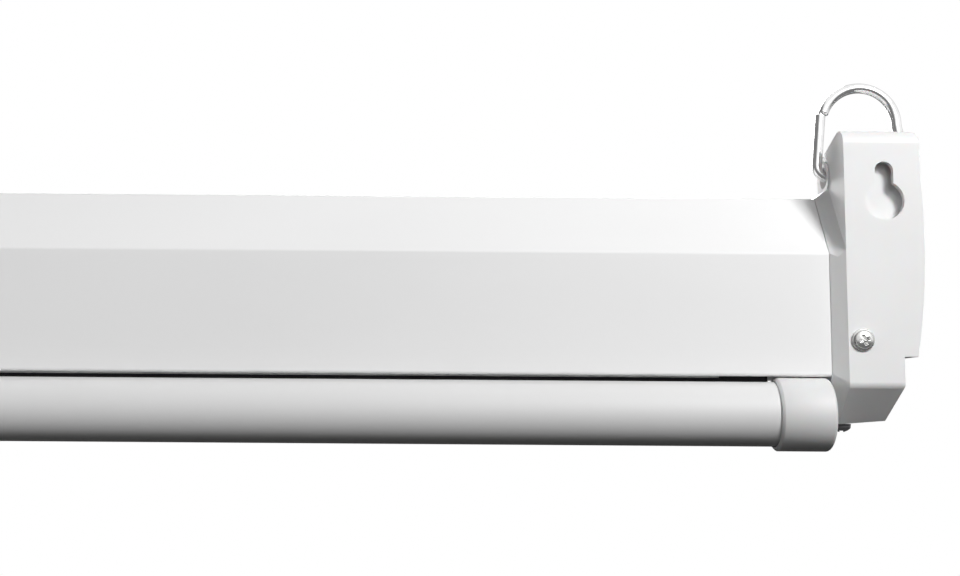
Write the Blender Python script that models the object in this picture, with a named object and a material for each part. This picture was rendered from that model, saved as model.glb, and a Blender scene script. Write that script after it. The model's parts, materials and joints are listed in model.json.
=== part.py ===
"""Pull-down projection screen: a spring roller in a metal case, a weight bar and two end caps.

Metres, +Z up. The origin lies on the back of the case, at mid length and mid height.
+X runs along the case, the front faces -Y. The screen is shown wound up.
"""

import math

import bmesh
import bpy
from mathutils import Matrix, Vector

# Clearances
SEAT_GAP = 0.0003
RUN_GAP = 0.0004

# Case
CASE_HEIGHT = 0.076
CASE_DEPTH = 0.068
CASE_WALL = 0.0014
CASE_BEND = 0.0022
SLOPE_RISE = 0.026
SLOPE_RUN = 0.018
LIP_BEAD = 0.0024
LIP_HEIGHT = 0.0045
FABRIC_SLOT = 0.009

# Fabric and roller
FABRIC_WIDTH = 1.310
FABRIC_TO_CASE_END = 0.025
FABRIC_LENGTH = 1.460
FABRIC_SHEET = 0.00033
FABRIC_SETBACK = 0.004
FABRIC_FREE_THICKNESS = 0.0005
ROLLER_RADIUS = 0.016
ROLLER_WALL = 0.001
ROLLER_OVERHANG = 0.005

# End caps
CAP_SKIRT = 0.0054
CAP_WIDTH = 0.0363
CAP_BULGE = 0.0368
CAP_PROUD_FRONT = 0.005
CAP_PROUD_SLOPE = 0.0045
CAP_PROUD_TOP = 0.004
CAP_PROUD_BOTTOM = 0.0037
CAP_WALL = 0.0023
CAP_FLOOR = 0.0032
CAP_EDGE = 0.0007
SPIGOT_LENGTH = 0.010
SPIGOT_WALL = 0.0018
SKIRT_FOLD_SHARE = 0.25
CHIN_DROP = 0.0153
CHIN_RISE = 0.0015
CHIN_BACK = 0.015
CHIN_RIGHT = 0.0239
CHIN_DRAFT = 0.004
CHIN_ROUND = 0.004
NOTCH_ABOVE_BOTTOM = 0.008
NOTCH_INNER = 0.0276
NOTCH_OUTER = 0.0331

# Ear, keyhole and hanging ring
EAR_RISE = 0.0250
EAR_FRONT_RADIUS = 0.0065
EAR_FRONT_WALL = 0.0023
EAR_SIDE_WALL = 0.0034
EAR_FLANGE = 0.009
EAR_CORNER = 0.0038
LUG_WIDTH = 0.0335
LUG_RADIUS = 0.0098
BOSS_RADIUS = 0.0072
BOSS_PROUD = 0.0005
PIVOT_SETBACK = 0.0205
PIVOT_RISE = 0.0093
FLARE_DEPTH = 0.0045
FLARE_RADIUS = 0.0046
KEYHOLE_X = 0.0216
KEYHOLE_RADIUS = 0.0080
KEYHOLE_SLOT = 0.0075
KEYHOLE_DROP = 0.0048
KEYHOLE_SLOT_RISE = 0.0122
KEYHOLE_POCKET = 0.0024
RING_WIRE = 0.0043
RING_RADIUS = 0.0157
RING_SPREAD = 0.0037
RING_CORNER = 0.0055
RING_HEIGHT = 0.0397
RING_X = 0.0213
RING_JOINT_RISE = 0.0041
RING_JOINT_GAP = 0.0006
RING_JOINT_STEP = 0.0017

# Bearing brackets and screws
BRACKET_SHEET = 0.0018
BRACKET_X = 0.0052
BRACKET_FLANGE = 0.0135
BRACKET_WIDTH = 0.030
BRACKET_HEIGHT = 0.0545
BRACKET_CORNER = 0.0045
TAB_WIDTH = 0.0144
TONGUE_HEIGHT = 0.0064
TONGUE_THICKNESS = 0.0036
SCREW_SHANK = 0.0020
SCREW_HEAD = 0.0045
SCREW_HEAD_HEIGHT = 0.0026
SCREW_WASHER_SHARE = 0.3
SCREW_DOME_SHARE = 0.8
RECESS_ARM_SHARE = 0.2
RECESS_REACH_SHARE = 0.66
FRONT_SCREW_X = 0.0111
FRONT_SCREW_RISE = 0.0146
FRONT_SCREW_LENGTH = 0.013
BOTTOM_SCREW_X = 0.0112
BOTTOM_SCREW_HEAD = 0.0040
BOTTOM_SCREW_HEAD_HEIGHT = 0.0036
BOTTOM_SCREW_LENGTH = 0.028

# Spring drive
SHAFT_RADIUS = 0.005
SHAFT_FLAT = 0.0042
HEAD_PLUG = 0.020
HEAD_FLANGE = 0.004
HEAD_FLANGE_RADIUS = 0.0165
RATCHET_RADIUS = 0.0082
RATCHET_THICKNESS = 0.004
PAWL_PIVOT_RADIUS = 0.0126
PAWL_REACH_ANGLE = 40.0
PAWL_SWING = 17.0
PAWL_NOSE_REST = 0.0104
PAWL_NOSE = 0.0012
PAWL_EYE = 0.0027
PAWL_PIN = 0.0013
PAWL_PIN_HEAD = 0.0022
PAWL_PIN_HEAD_HEIGHT = 0.0012
ANCHOR_LENGTH = 0.011
ANCHOR_RADIUS = 0.0122
SPRING_LENGTH = 0.190
SPRING_COILS = 36
SPRING_RADIUS = 0.0105
SPRING_WIRE = 0.0022
SPRING_PLUG = 0.028
IDLE_PIN_RADIUS = 0.003
IDLE_BUSH_WALL = 0.0022
IDLE_BUSH_FLANGE = 0.0075
IDLE_BUSH_RIM = 0.0012

# Weight bar and handle
BAR_RADIUS = 0.0130
BAR_WALL = 0.0012
BAR_SLOT = 0.003
BAR_CAP_WALL = 0.0015
BAR_CAP_LENGTH = 0.0218
BAR_CAP_INSET = 0.0010
BAR_CAP_END = 0.0022
BAR_CAP_ROUND = 0.0030
BAR_CAP_LIP = 0.0003
BAR_CAP_BEVEL = 0.0020
HEM_ROD_RADIUS = 0.0024
SADDLE_LENGTH = 0.044
SADDLE_WALL = 0.0024
SADDLE_WRAP = 136.0
HANDLE_LUG_THICKNESS = 0.010
HANDLE_LUG_ROOT = 0.007
HANDLE_LUG_DROP = 0.0056
HANDLE_WIRE = 0.006
HANDLE_WIDTH = 0.078
HANDLE_HEIGHT = 0.036
HANDLE_TAPER = 0.0055
HANDLE_BEND = 0.010
SADDLE_SCREW_X = 0.0145
SADDLE_SCREW_HEAD = 0.0030
SADDLE_SCREW_HEAD_HEIGHT = 0.0017
SADDLE_SCREW_SHANK = 0.0014
SADDLE_SCREW_LENGTH = 0.008

# Facets
ROUND = 40
SMALL_ROUND = 18
CORNER_STEPS = 4
SPRING_STEPS = 8
SHARP_ANGLE = 28.0

# Places worked out from the sizes above
END = FABRIC_WIDTH / 2 + FABRIC_TO_CASE_END
TOP = CASE_HEIGHT / 2
BOTTOM = -CASE_HEIGHT / 2
FRONT = -CASE_DEPTH
CAP_FRONT = FRONT - CAP_PROUD_FRONT
CAP_TOP = TOP + CAP_PROUD_TOP
CAP_BOTTOM = BOTTOM - CAP_PROUD_BOTTOM
EAR_TOP = TOP + EAR_RISE
PIVOT = Vector((0, FRONT + PIVOT_SETBACK, TOP + PIVOT_RISE))
KEYHOLE_Z = TOP - KEYHOLE_DROP
ROLL_INNER = ROLLER_RADIUS + SEAT_GAP
ROLL_RADIUS = math.sqrt(ROLL_INNER**2 + FABRIC_LENGTH * FABRIC_SHEET / math.pi)
FABRIC_Y = FRONT + FABRIC_SETBACK
AXIS = Vector((0, FABRIC_Y + FABRIC_FREE_THICKNESS / 2 + SEAT_GAP + ROLL_RADIUS, 0))
ROLLER_END = FABRIC_WIDTH / 2 + ROLLER_OVERHANG
HEAD_FACE = ROLLER_END + SEAT_GAP
RATCHET_X = HEAD_FACE + HEAD_FLANGE + SEAT_GAP
BRACKET_FACE = END + BRACKET_X
BAR_CAP_RADIUS = BAR_RADIUS + SEAT_GAP + BAR_CAP_WALL
BAR_Z = BOTTOM - SEAT_GAP - BAR_CAP_RADIUS
BAR_AXIS = Vector((0, FABRIC_Y, BAR_Z))
BAR_END = END - BAR_CAP_INSET
HEM_ROD_Z = BAR_Z + BAR_RADIUS - BAR_WALL - SEAT_GAP - HEM_ROD_RADIUS
HANDLE_AXIS = Vector((0, FABRIC_Y, BAR_Z - BAR_RADIUS - SEAT_GAP - SADDLE_WALL - HANDLE_LUG_DROP))
FRONT_SCREW_Z = BOTTOM + FRONT_SCREW_RISE


def clear_scene():
    for thing in list(bpy.data.objects):
        bpy.data.objects.remove(thing)


def finish(name, color, roughness, metallic=0.0):
    """A Principled material."""
    made = bpy.data.materials.new(name)
    made.use_nodes = True
    shader = made.node_tree.nodes["Principled BSDF"]
    shader.inputs["Base Color"].default_value = (*color, 1)
    shader.inputs["Roughness"].default_value = roughness
    shader.inputs["Metallic"].default_value = metallic
    made.diffuse_color = (*color, 1)
    return made


def place(name, mesh, material):
    """Puts a mesh into the scene as one named object."""
    thing = bpy.data.objects.new(name, mesh)
    bpy.context.scene.collection.objects.link(thing)
    mesh.materials.append(material)
    return thing


def shade_all():
    """Smooth shading on round faces, sharp edges between flat ones."""
    for mesh in bpy.data.meshes:
        mesh.shade_smooth()
        mesh.set_sharp_from_angle(angle=math.radians(SHARP_ANGLE))


def closed_mesh(name, bm):
    bmesh.ops.recalc_face_normals(bm, faces=bm.faces)
    mesh = bpy.data.meshes.new(name)
    bm.to_mesh(mesh)
    bm.free()
    return mesh


def prism(name, outline, axis, low, high, material):
    """An outline carried straight along an axis, from low to high.

    Along X the outline holds (y, z), along Y (x, z) and along Z (x, y).
    """
    bm = bmesh.new()
    spot = {"X": lambda a, b: (low, a, b), "Y": lambda a, b: (a, low, b), "Z": lambda a, b: (a, b, low)}
    corners = [bm.verts.new(spot[axis](a, b)) for a, b in outline]
    face = bm.faces.new(corners)
    swept = bmesh.ops.extrude_face_region(bm, geom=[face])["geom"]
    moved = [item for item in swept if isinstance(item, bmesh.types.BMVert)]
    step = Vector([(high - low) * (axis == letter) for letter in "XYZ"])
    bmesh.ops.translate(bm, verts=moved, vec=step)
    return place(name, closed_mesh(name, bm), material)


def loft(name, rings, material):
    """Joins rings of (x, y, z) points, the same number in each, and closes both ends."""
    bm = bmesh.new()
    rows = [[bm.verts.new(point) for point in ring] for ring in rings]
    count = len(rings[0])
    for first, second in zip(rows, rows[1:]):
        for i in range(count):
            j = (i + 1) % count
            bm.faces.new((first[i], first[j], second[j], second[i]))
    bm.faces.new(rows[0])
    bm.faces.new(rows[-1])
    return place(name, closed_mesh(name, bm), material)


def turned(name, profile, centre, material, steps=ROUND):
    """A profile of (x, radius) points turned about a line along X through centre.

    A closed profile that stays off the line makes a ring. One that starts and ends on it
    makes a solid.
    """
    solid = profile[0][1] == 0
    bm = bmesh.new()
    verts = [bm.verts.new((x, centre.y - radius, centre.z)) for x, radius in profile]
    edges = [bm.edges.new(pair) for pair in zip(verts, verts[1:])]
    if not solid:
        edges.append(bm.edges.new((verts[-1], verts[0])))
    hub = Vector((0, centre.y, centre.z))
    bmesh.ops.spin(bm, geom=verts + edges, cent=hub, axis=(1, 0, 0), angle=math.tau, steps=steps)
    bmesh.ops.remove_doubles(bm, verts=bm.verts, dist=1e-6)
    return place(name, closed_mesh(name, bm), material)


def block(name, low, high, material):
    """A box between two corners."""
    outline = [(low[0], low[1]), (high[0], low[1]), (high[0], high[1]), (low[0], high[1])]
    return prism(name, outline, "Z", low[2], high[2], material)


def rod(low, high, radius, material, axis="X", steps=SMALL_ROUND):
    """A round bar between two points on a line along an axis, used as a cutter or a boss."""
    names = {"X": 0, "Y": 1, "Z": 2}
    across = [i for i in range(3) if i != names[axis]]
    outline = circle((low[across[0]], low[across[1]]), radius, steps)
    return prism("rod", outline, axis, low[names[axis]], high[names[axis]], material)


def combine(thing, other, operation="DIFFERENCE"):
    """Cuts, joins or keeps the overlap with another object, which is used up."""
    step = thing.modifiers.new(operation.title(), "BOOLEAN")
    step.object = other
    step.operation = operation
    graph = bpy.context.evaluated_depsgraph_get()
    mesh = bpy.data.meshes.new_from_object(thing.evaluated_get(graph))
    thing.modifiers.clear()
    thing.data = mesh
    bpy.data.objects.remove(other)
    return thing


def soften(thing, width, steps=2, angle=32.0):
    """Rounds the edges that are sharper than an angle."""
    bevel = thing.modifiers.new("Edges", "BEVEL")
    bevel.width = width
    bevel.segments = steps
    bevel.limit_method = "ANGLE"
    bevel.angle_limit = math.radians(angle)
    graph = bpy.context.evaluated_depsgraph_get()
    mesh = bpy.data.meshes.new_from_object(thing.evaluated_get(graph))
    thing.modifiers.clear()
    thing.data = mesh
    return thing


def mirrored(thing, name):
    """The same piece for the left end."""
    mesh = thing.data.copy()
    mesh.transform(Matrix.Scale(-1, 4, (1, 0, 0)))
    mesh.flip_normals()
    twin = bpy.data.objects.new(name, mesh)
    bpy.context.scene.collection.objects.link(twin)
    return twin


def hinge_at(thing, point):
    """Moves the origin of a piece to its joint without moving the piece."""
    thing.data.transform(Matrix.Translation(-Vector(point)))
    thing.location = point
    return thing


def circle(centre, radius, steps):
    return arc(centre, radius, 0.0, 360.0 * (steps - 1) / steps, steps - 1)


def arc(centre, radius, start, end, steps):
    """Points on an arc, its ends included. Angles are in degrees."""
    angles = [math.radians(start + (end - start) * i / steps) for i in range(steps + 1)]
    return [(centre[0] + radius * math.cos(a), centre[1] + radius * math.sin(a)) for a in angles]


def arc_through(first, middle, last, steps):
    """Points on the circle through three points, from the first to the last."""
    ax, ay = first
    bx, by = middle
    cx, cy = last
    d = 2 * (ax * (by - cy) + bx * (cy - ay) + cx * (ay - by))
    a2, b2, c2 = ax * ax + ay * ay, bx * bx + by * by, cx * cx + cy * cy
    ux = (a2 * (by - cy) + b2 * (cy - ay) + c2 * (ay - by)) / d
    uy = (a2 * (cx - bx) + b2 * (ax - cx) + c2 * (bx - ax)) / d
    start = math.degrees(math.atan2(ay - uy, ax - ux))
    end = math.degrees(math.atan2(cy - uy, cx - ux))
    return arc((ux, uy), math.hypot(ax - ux, ay - uy), start, end, steps)


def corner_arc(before, corner, after, radius, steps=CORNER_STEPS):
    """The arc that rounds a corner, met on the way from the point before to the point after."""
    here = Vector(corner)
    if radius == 0:
        return [tuple(here)]
    back = (Vector(before) - here).normalized()
    ahead = (Vector(after) - here).normalized()
    half = back.angle(ahead) / 2
    centre = here + (back + ahead).normalized() * radius / math.sin(half)
    start = here + back * radius / math.tan(half) - centre
    end = here + ahead * radius / math.tan(half) - centre
    turn = start.angle_signed(end)
    spokes = [Matrix.Rotation(-turn * k / steps, 2) @ start for k in range(steps + 1)]
    return [tuple(centre + spoke) for spoke in spokes]


def rounded(corners, radii, steps=CORNER_STEPS):
    """An outline whose corners are replaced by arcs. A radius of 0 leaves a corner sharp."""
    outline = []
    for i, radius in enumerate(radii):
        after = corners[(i + 1) % len(corners)]
        outline += corner_arc(corners[i - 1], corners[i], after, radius, steps)
    return outline


def link_outline(first, first_radius, second, second_radius, steps=8):
    """The outline of a band stretched round two circles."""
    way = Vector(second) - Vector(first)
    heading = math.degrees(math.atan2(way.y, way.x))
    spread = math.degrees(math.acos((first_radius - second_radius) / way.length))
    far = arc(second, second_radius, heading - spread, heading + spread, steps)
    near = arc(first, first_radius, heading + spread, heading - spread + 360, steps)
    return far + near


def case_corners(front=0.0, slope=0.0, top=0.0, bottom=0.0, back=0.0):
    """The five corners of the case's end view, each side moved outwards by its own distance.

    They run from the front bottom corner upwards and round to the back.
    """
    length = math.hypot(SLOPE_RISE, SLOPE_RUN)
    start = Vector((FRONT, TOP - SLOPE_RISE)) + Vector((-SLOPE_RISE, SLOPE_RUN)) * slope / length
    y_front, z_top = FRONT - front, TOP + top
    low = (y_front, start.y + (y_front - start.x) * SLOPE_RISE / SLOPE_RUN)
    high = (start.x + (z_top - start.y) * SLOPE_RUN / SLOPE_RISE, z_top)
    return [(y_front, BOTTOM - bottom), low, high, (back, z_top), (back, BOTTOM - bottom)]


def inset_corners(inset):
    return case_corners(-inset, -inset, -inset, -inset, -inset)


def make_case(material):
    """The case: one metal section, open only at the slot that the fabric leaves by."""
    outer = case_corners()
    inner = inset_corners(CASE_WALL)
    slot_back = FABRIC_Y + FABRIC_SLOT / 2
    bend, crease = CASE_BEND, CASE_BEND - CASE_WALL
    outside = rounded(outer, [0, bend, bend, bend, bend])
    inside = rounded(inner, [0, crease, crease, crease, crease])
    lip = LIP_BEAD / 2
    bead = arc((FRONT + lip, BOTTOM + lip), lip, -180, 0, 6)
    bead.append((FRONT + LIP_BEAD, BOTTOM + LIP_HEIGHT - CASE_WALL))
    bead.append((FRONT + CASE_WALL, BOTTOM + LIP_HEIGHT))
    half = CASE_WALL / 2
    flange = arc((slot_back + half, BOTTOM + half), half, -90, -270, 4)
    outline = outside[1:] + flange + inside[:0:-1] + bead[::-1]
    return prism("case_extrusion", outline, "X", -END, END, material)


def chin_outline(share):
    """The lower part of the end cap's end view, from the back over the chin to the front.

    The share runs from 0 beside the case to 1 where the cap has its full size.
    """
    front = FRONT - share * CAP_PROUD_FRONT
    raised = (1 - share) * CHIN_DRAFT
    chin = CAP_BOTTOM - CHIN_DROP + raised
    level = BOTTOM - share * CAP_PROUD_BOTTOM
    toe = (front + CHIN_BACK, chin)
    corner = (front, CAP_BOTTOM + raised)
    above = (front, 0)
    heel = [(0, level), (FRONT / 9, level), (FRONT / 3, chin), toe]
    return heel + corner_arc(toe, corner, above, CHIN_ROUND)


def skirt_outline(share, slope_share):
    """The end view of the skirt between the case and the full size of the cap."""
    proud = case_corners(
        share * CAP_PROUD_FRONT,
        slope_share * CAP_PROUD_SLOPE,
        share * CAP_PROUD_TOP,
    )
    return chin_outline(share) + proud[1:4]


def ear_outline():
    """The end cap's end view: chin, front, ear with its rounded lug, top and back."""
    bulb = (CAP_FRONT + EAR_FRONT_RADIUS, EAR_TOP - EAR_FRONT_RADIUS)
    lug = (PIVOT.y, PIVOT.z)
    way = Vector(lug) - Vector(bulb)
    heading = math.degrees(math.atan2(way.y, way.x))
    lean = heading + math.degrees(math.acos((EAR_FRONT_RADIUS - LUG_RADIUS) / way.length))
    points = chin_outline(1)
    points += arc(bulb, EAR_FRONT_RADIUS, 180, lean, 6)
    points += arc(lug, LUG_RADIUS, lean, 0, 8)
    points += [(PIVOT.y + LUG_RADIUS, CAP_TOP), (0, CAP_TOP)]
    return points


def cap_front_outline():
    """The end cap's front view, bulging on its outer side and stepped in below the notch."""
    chin = CAP_BOTTOM - CHIN_DROP
    notch = BOTTOM + NOTCH_ABOVE_BOTTOM
    side = arc_through((NOTCH_OUTER, notch), (CAP_BULGE, TOP / 10), (CAP_WIDTH, CAP_TOP), 10)
    points = [(CAP_SKIRT, chin), (CHIN_RIGHT, chin + CHIN_RISE), (NOTCH_INNER, CAP_BOTTOM)]
    points += [(NOTCH_INNER, notch), *side]
    points += arc((CAP_WIDTH - EAR_CORNER, EAR_TOP - EAR_CORNER), EAR_CORNER, 0, 90, 5)
    points += [(CAP_SKIRT, EAR_TOP)]
    return [(END + x, z) for x, z in points]


def cap_shell(material):
    """The outer form: the end view carried along X, cut to the front view, with a flared skirt."""
    skirt_end = END + CAP_SKIRT
    body = prism("end_cap_right", ear_outline(), "X", skirt_end, END + CAP_BULGE + SEAT_GAP, material)
    deep = 4 * SEAT_GAP
    front_view = prism("front_view", cap_front_outline(), "Y", CAP_FRONT - deep, deep, material)
    combine(body, front_view, "INTERSECT")
    beside_lug = block(
        "beside_lug",
        (END + LUG_WIDTH, CAP_FRONT + EAR_FLANGE, CAP_TOP + SEAT_GAP),
        (END + CAP_BULGE + deep, deep, EAR_TOP + deep),
        material,
    )
    combine(body, beside_lug)
    middle = END + (SEAT_GAP + CAP_SKIRT) / 2
    sections = (
        (END + SEAT_GAP, skirt_outline(0, 0)),
        (middle, skirt_outline(0.5, SKIRT_FOLD_SHARE)),
        (skirt_end, skirt_outline(1, 1)),
    )
    rings = [[(x, y, z) for y, z in outline] for x, outline in sections]
    combine(body, loft("skirt", rings, material), "UNION")
    return soften(body, CAP_EDGE)


def add_bosses(cap, material):
    """Round bosses on both sides of the lug, where the ring goes through."""
    faces = ((END + CAP_SKIRT, -BOSS_PROUD), (END + LUG_WIDTH, BOSS_PROUD))
    for face, proud in faces:
        low, high = sorted((face + proud, face - proud))
        boss = rod((low, PIVOT.y, PIVOT.z), (high, 0, 0), BOSS_RADIUS, material, "X", ROUND)
        combine(cap, boss, "UNION")
    return cap


def keyhole_outline():
    slot = KEYHOLE_SLOT / 2
    top = KEYHOLE_Z + KEYHOLE_SLOT_RISE
    meet = math.degrees(math.asin(slot / KEYHOLE_RADIUS))
    points = arc((END + KEYHOLE_X, KEYHOLE_Z), KEYHOLE_RADIUS, 90 + meet, 450 - meet, 24)
    points += arc((END + KEYHOLE_X, top), slot, 0, 180, 10)
    return points


def hollow_ear(cap, material):
    """The flat pocket behind the keyhole, and the hollow behind that, open at the back."""
    wall_back = CAP_FRONT + EAR_FRONT_WALL
    web = wall_back + KEYHOLE_POCKET
    front = web + CAP_WALL
    low = KEYHOLE_Z - KEYHOLE_RADIUS - CAP_WALL
    roof = EAR_TOP - CAP_FLOOR
    pocket = [(wall_back, low), (web, low), (web, roof), (wall_back, roof - EAR_FRONT_WALL)]
    sill = CAP_TOP + CAP_WALL
    lug_roof = PIVOT.z + LUG_RADIUS - CAP_FLOOR
    past = PIVOT.y + LUG_RADIUS + CAP_WALL
    lean = SLOPE_RUN / SLOPE_RISE
    hollow = [
        (front, low + (front - wall_back) / lean),
        (wall_back + (sill - low) * lean, sill),
        (past, sill),
        (past, lug_roof),
        (PIVOT.y, lug_roof),
        (front, roof),
    ]
    left = END + CAP_SKIRT + EAR_SIDE_WALL
    right = END + LUG_WIDTH - EAR_SIDE_WALL / 2
    combine(cap, prism("pocket", pocket, "X", left, right, material))
    combine(cap, prism("hollow", hollow, "X", left, right, material))
    ahead = CAP_FRONT - CAP_WALL
    keyhole = prism("keyhole", keyhole_outline(), "Y", ahead, wall_back + SEAT_GAP, material)
    return combine(cap, keyhole)


def hollow_cap(cap, material):
    """The chamber for the bearing bracket and the spigot that plugs into the case."""
    depth = END + NOTCH_INNER - CAP_FLOOR
    inner = inset_corners(CASE_WALL + SEAT_GAP)
    start = END - SPIGOT_LENGTH
    spigot = prism("spigot", inner, "X", start, END + CAP_WALL, material)
    lip_low = (start - CAP_WALL, FRONT, BOTTOM)
    lip_high = (END + SEAT_GAP, FRONT + LIP_BEAD + SEAT_GAP, BOTTOM + LIP_HEIGHT + SEAT_GAP)
    combine(spigot, block("lip_room", lip_low, lip_high, material))
    combine(cap, spigot, "UNION")
    chamber = inset_corners(CASE_WALL + SEAT_GAP + SPIGOT_WALL)
    return combine(cap, prism("chamber", chamber, "X", start - CAP_WALL, depth, material))


def drill_cap(cap, material):
    """Holes for the ring, the front screw and the bottom screw."""
    pivot_hole = RING_WIRE / 2 + RUN_GAP
    past = CAP_FLOOR
    low = (END - past, PIVOT.y, PIVOT.z)
    high = (END + CAP_BULGE + past, 0, 0)
    combine(cap, rod(low, high, pivot_hole, material))
    face = END + CAP_SKIRT - BOSS_PROUD
    flare = [(face - RUN_GAP, 0), (face - RUN_GAP, FLARE_RADIUS), (face, FLARE_RADIUS)]
    flare += [(face + FLARE_DEPTH, pivot_hole), (face + FLARE_DEPTH, 0)]
    combine(cap, turned("flare", flare, PIVOT, material, SMALL_ROUND))
    screw_hole = SCREW_SHANK + SEAT_GAP
    screw_x = END + FRONT_SCREW_X
    low = (screw_x, CAP_FRONT - past, FRONT_SCREW_Z)
    high = (0, FRONT + CASE_WALL + SPIGOT_WALL + past, 0)
    combine(cap, rod(low, high, screw_hole, material, "Y"))
    low = (END + BOTTOM_SCREW_X, AXIS.y, CAP_BOTTOM - CHIN_DROP - past)
    high = (0, 0, BOTTOM + CASE_WALL + SPIGOT_WALL + past)
    return combine(cap, rod(low, high, screw_hole, material, "Z"))


def make_end_cap(material):
    """The moulded end cap, the piece with the most shape in it."""
    cap = cap_shell(material)
    add_bosses(cap, material)
    hollow_cap(cap, material)
    hollow_ear(cap, material)
    return drill_cap(cap, material)


def swept_wire(name, points, wire, material, sides):
    """A wire along a smooth open path of points."""
    curve = bpy.data.curves.new(name, "CURVE")
    curve.dimensions = "3D"
    curve.bevel_depth = wire / 2
    curve.bevel_resolution = sides
    curve.use_fill_caps = True
    spline = curve.splines.new("POLY")
    spline.points.add(len(points) - 1)
    for spot, point in zip(spline.points, points):
        spot.co = (*point, 1)
        spot.radius = 1
    curve.materials.append(material)
    thing = bpy.data.objects.new(name, curve)
    bpy.context.scene.collection.objects.link(thing)
    return thing


def ring_path():
    """The hanging ring's middle line, as (x, z) from the middle of its pivot.

    It starts at the joint above the left leg, runs down and through the lug, up the right leg
    and over the bow, and ends at the joint again, one step further in.
    """
    bow = RING_HEIGHT - RING_RADIUS
    foot = RING_RADIUS + RING_SPREAD
    lean = math.asin(RING_JOINT_RISE / RING_RADIUS)
    joint_x = -RING_RADIUS * math.cos(lean)
    start = (joint_x - RING_JOINT_STEP, bow + RING_JOINT_RISE - RING_JOINT_GAP)
    shoulder = (RING_RADIUS, bow)
    left = corner_arc(start, (-foot, 0), (foot, 0), RING_CORNER, 6)
    right = corner_arc((-foot, 0), (foot, 0), shoulder, RING_CORNER, 6)
    across = [(foot * i / 8, 0) for i in range(-4, 5)]
    over = arc((0, bow), RING_RADIUS, 0, 180 - math.degrees(lean), 18)
    return [start, *left, *across, *right, *over]


def make_ring(name, side, material):
    points = [(x * side, 0, z) for x, z in ring_path()]
    ring = swept_wire(name, points, RING_WIRE, material, 2)
    ring.location = (side * (END + RING_X), PIVOT.y, PIVOT.z)
    return ring


def make_bracket(material):
    """The steel plate that carries the roller's end, with two tabs for the cap's screws."""
    left, right = AXIS.y - BRACKET_WIDTH / 2, AXIS.y + BRACKET_WIDTH / 2
    inner_front = FRONT + CASE_WALL + SPIGOT_WALL + 2 * SEAT_GAP
    inner_bottom = BOTTOM + CASE_WALL + SPIGOT_WALL + 2 * SEAT_GAP
    top = inner_bottom + BRACKET_HEIGHT
    corner = BRACKET_CORNER
    points = [(left, inner_bottom), (right, inner_bottom), (right, top), (left, top)]
    face = BRACKET_FACE
    plate = prism(
        "bracket_right",
        rounded(points, [0, corner, corner, corner]),
        "X",
        face,
        face + BRACKET_SHEET,
        material,
    )
    reach = face + BRACKET_FLANGE
    tab = TAB_WIDTH / 2
    arm = block(
        "arm",
        (face, inner_front, FRONT_SCREW_Z - tab),
        (face + BRACKET_SHEET, left + BRACKET_SHEET, FRONT_SCREW_Z + tab),
        material,
    )
    combine(plate, arm, "UNION")
    front_tab = block(
        "front_tab",
        (face, inner_front, FRONT_SCREW_Z - tab),
        (reach, inner_front + BRACKET_SHEET, FRONT_SCREW_Z + tab),
        material,
    )
    combine(plate, front_tab, "UNION")
    bottom_tab = block(
        "bottom_tab",
        (face, AXIS.y - tab, inner_bottom),
        (reach, AXIS.y + tab, inner_bottom + BRACKET_SHEET),
        material,
    )
    combine(plate, bottom_tab, "UNION")
    hole = SCREW_SHANK + SEAT_GAP
    past = BRACKET_SHEET
    low = (END + FRONT_SCREW_X, inner_front - past, FRONT_SCREW_Z)
    combine(plate, rod(low, (0, inner_front + 2 * past, 0), hole, material, "Y"))
    low = (END + BOTTOM_SCREW_X, AXIS.y, inner_bottom - past)
    combine(plate, rod(low, (0, 0, inner_bottom + 2 * past), hole, material, "Z"))
    return plate


def slot_bracket(plate, material):
    """The slot for the shaft's flat tongue, which stops the shaft from turning."""
    wide = TONGUE_THICKNESS / 2 + SEAT_GAP
    tall = TONGUE_HEIGHT / 2 + SEAT_GAP
    low = (BRACKET_FACE - BRACKET_SHEET, AXIS.y - wide, -tall)
    high = (BRACKET_FACE + 2 * BRACKET_SHEET, AXIS.y + wide, tall)
    return combine(plate, block("tongue_slot", low, high, material))


def bore_bracket(plate, material):
    """The round hole for the idle end's bush."""
    radius = IDLE_PIN_RADIUS + RUN_GAP + IDLE_BUSH_WALL + SEAT_GAP
    low = (-BRACKET_FACE - 2 * BRACKET_SHEET, AXIS.y, AXIS.z)
    high = (-BRACKET_FACE + BRACKET_SHEET, 0, 0)
    return combine(plate, rod(low, high, radius, material, "X", ROUND))


def screw_mesh(head, height, shank, length, material):
    """A washer head screw along -X with its seat at 0, its head towards +X and a cross recess."""
    washer = height * SCREW_WASHER_SHARE
    dome = head * SCREW_DOME_SHARE
    crown = [(height, 0), (height * 0.92, dome * 0.55), (height * 0.7, dome * 0.88)]
    crown += [(washer, dome), (washer, head), (0, head)]
    point = [(0, shank), (-length + shank, shank), (-length, shank * 0.35), (-length, 0)]
    body = turned("screw", [*crown, *point], Vector(), material, SMALL_ROUND)
    for turn in (0, 90):
        arm = block(
            "recess",
            (washer, -dome * RECESS_ARM_SHARE, -dome * RECESS_REACH_SHARE),
            (height * 2, dome * RECESS_ARM_SHARE, dome * RECESS_REACH_SHARE),
            material,
        )
        arm.data.transform(Matrix.Rotation(math.radians(turn), 4, "X"))
        combine(body, arm)
    mesh = body.data
    bpy.data.objects.remove(body)
    return mesh


def drive(name, mesh, seat, direction):
    """Sets a copy of a screw on its seat, its head towards a direction."""
    turn = Vector((1, 0, 0)).rotation_difference(Vector(direction)).to_matrix().to_4x4()
    copy = mesh.copy()
    copy.transform(Matrix.Translation(seat) @ turn)
    thing = bpy.data.objects.new(name, copy)
    bpy.context.scene.collection.objects.link(thing)
    return thing


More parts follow.
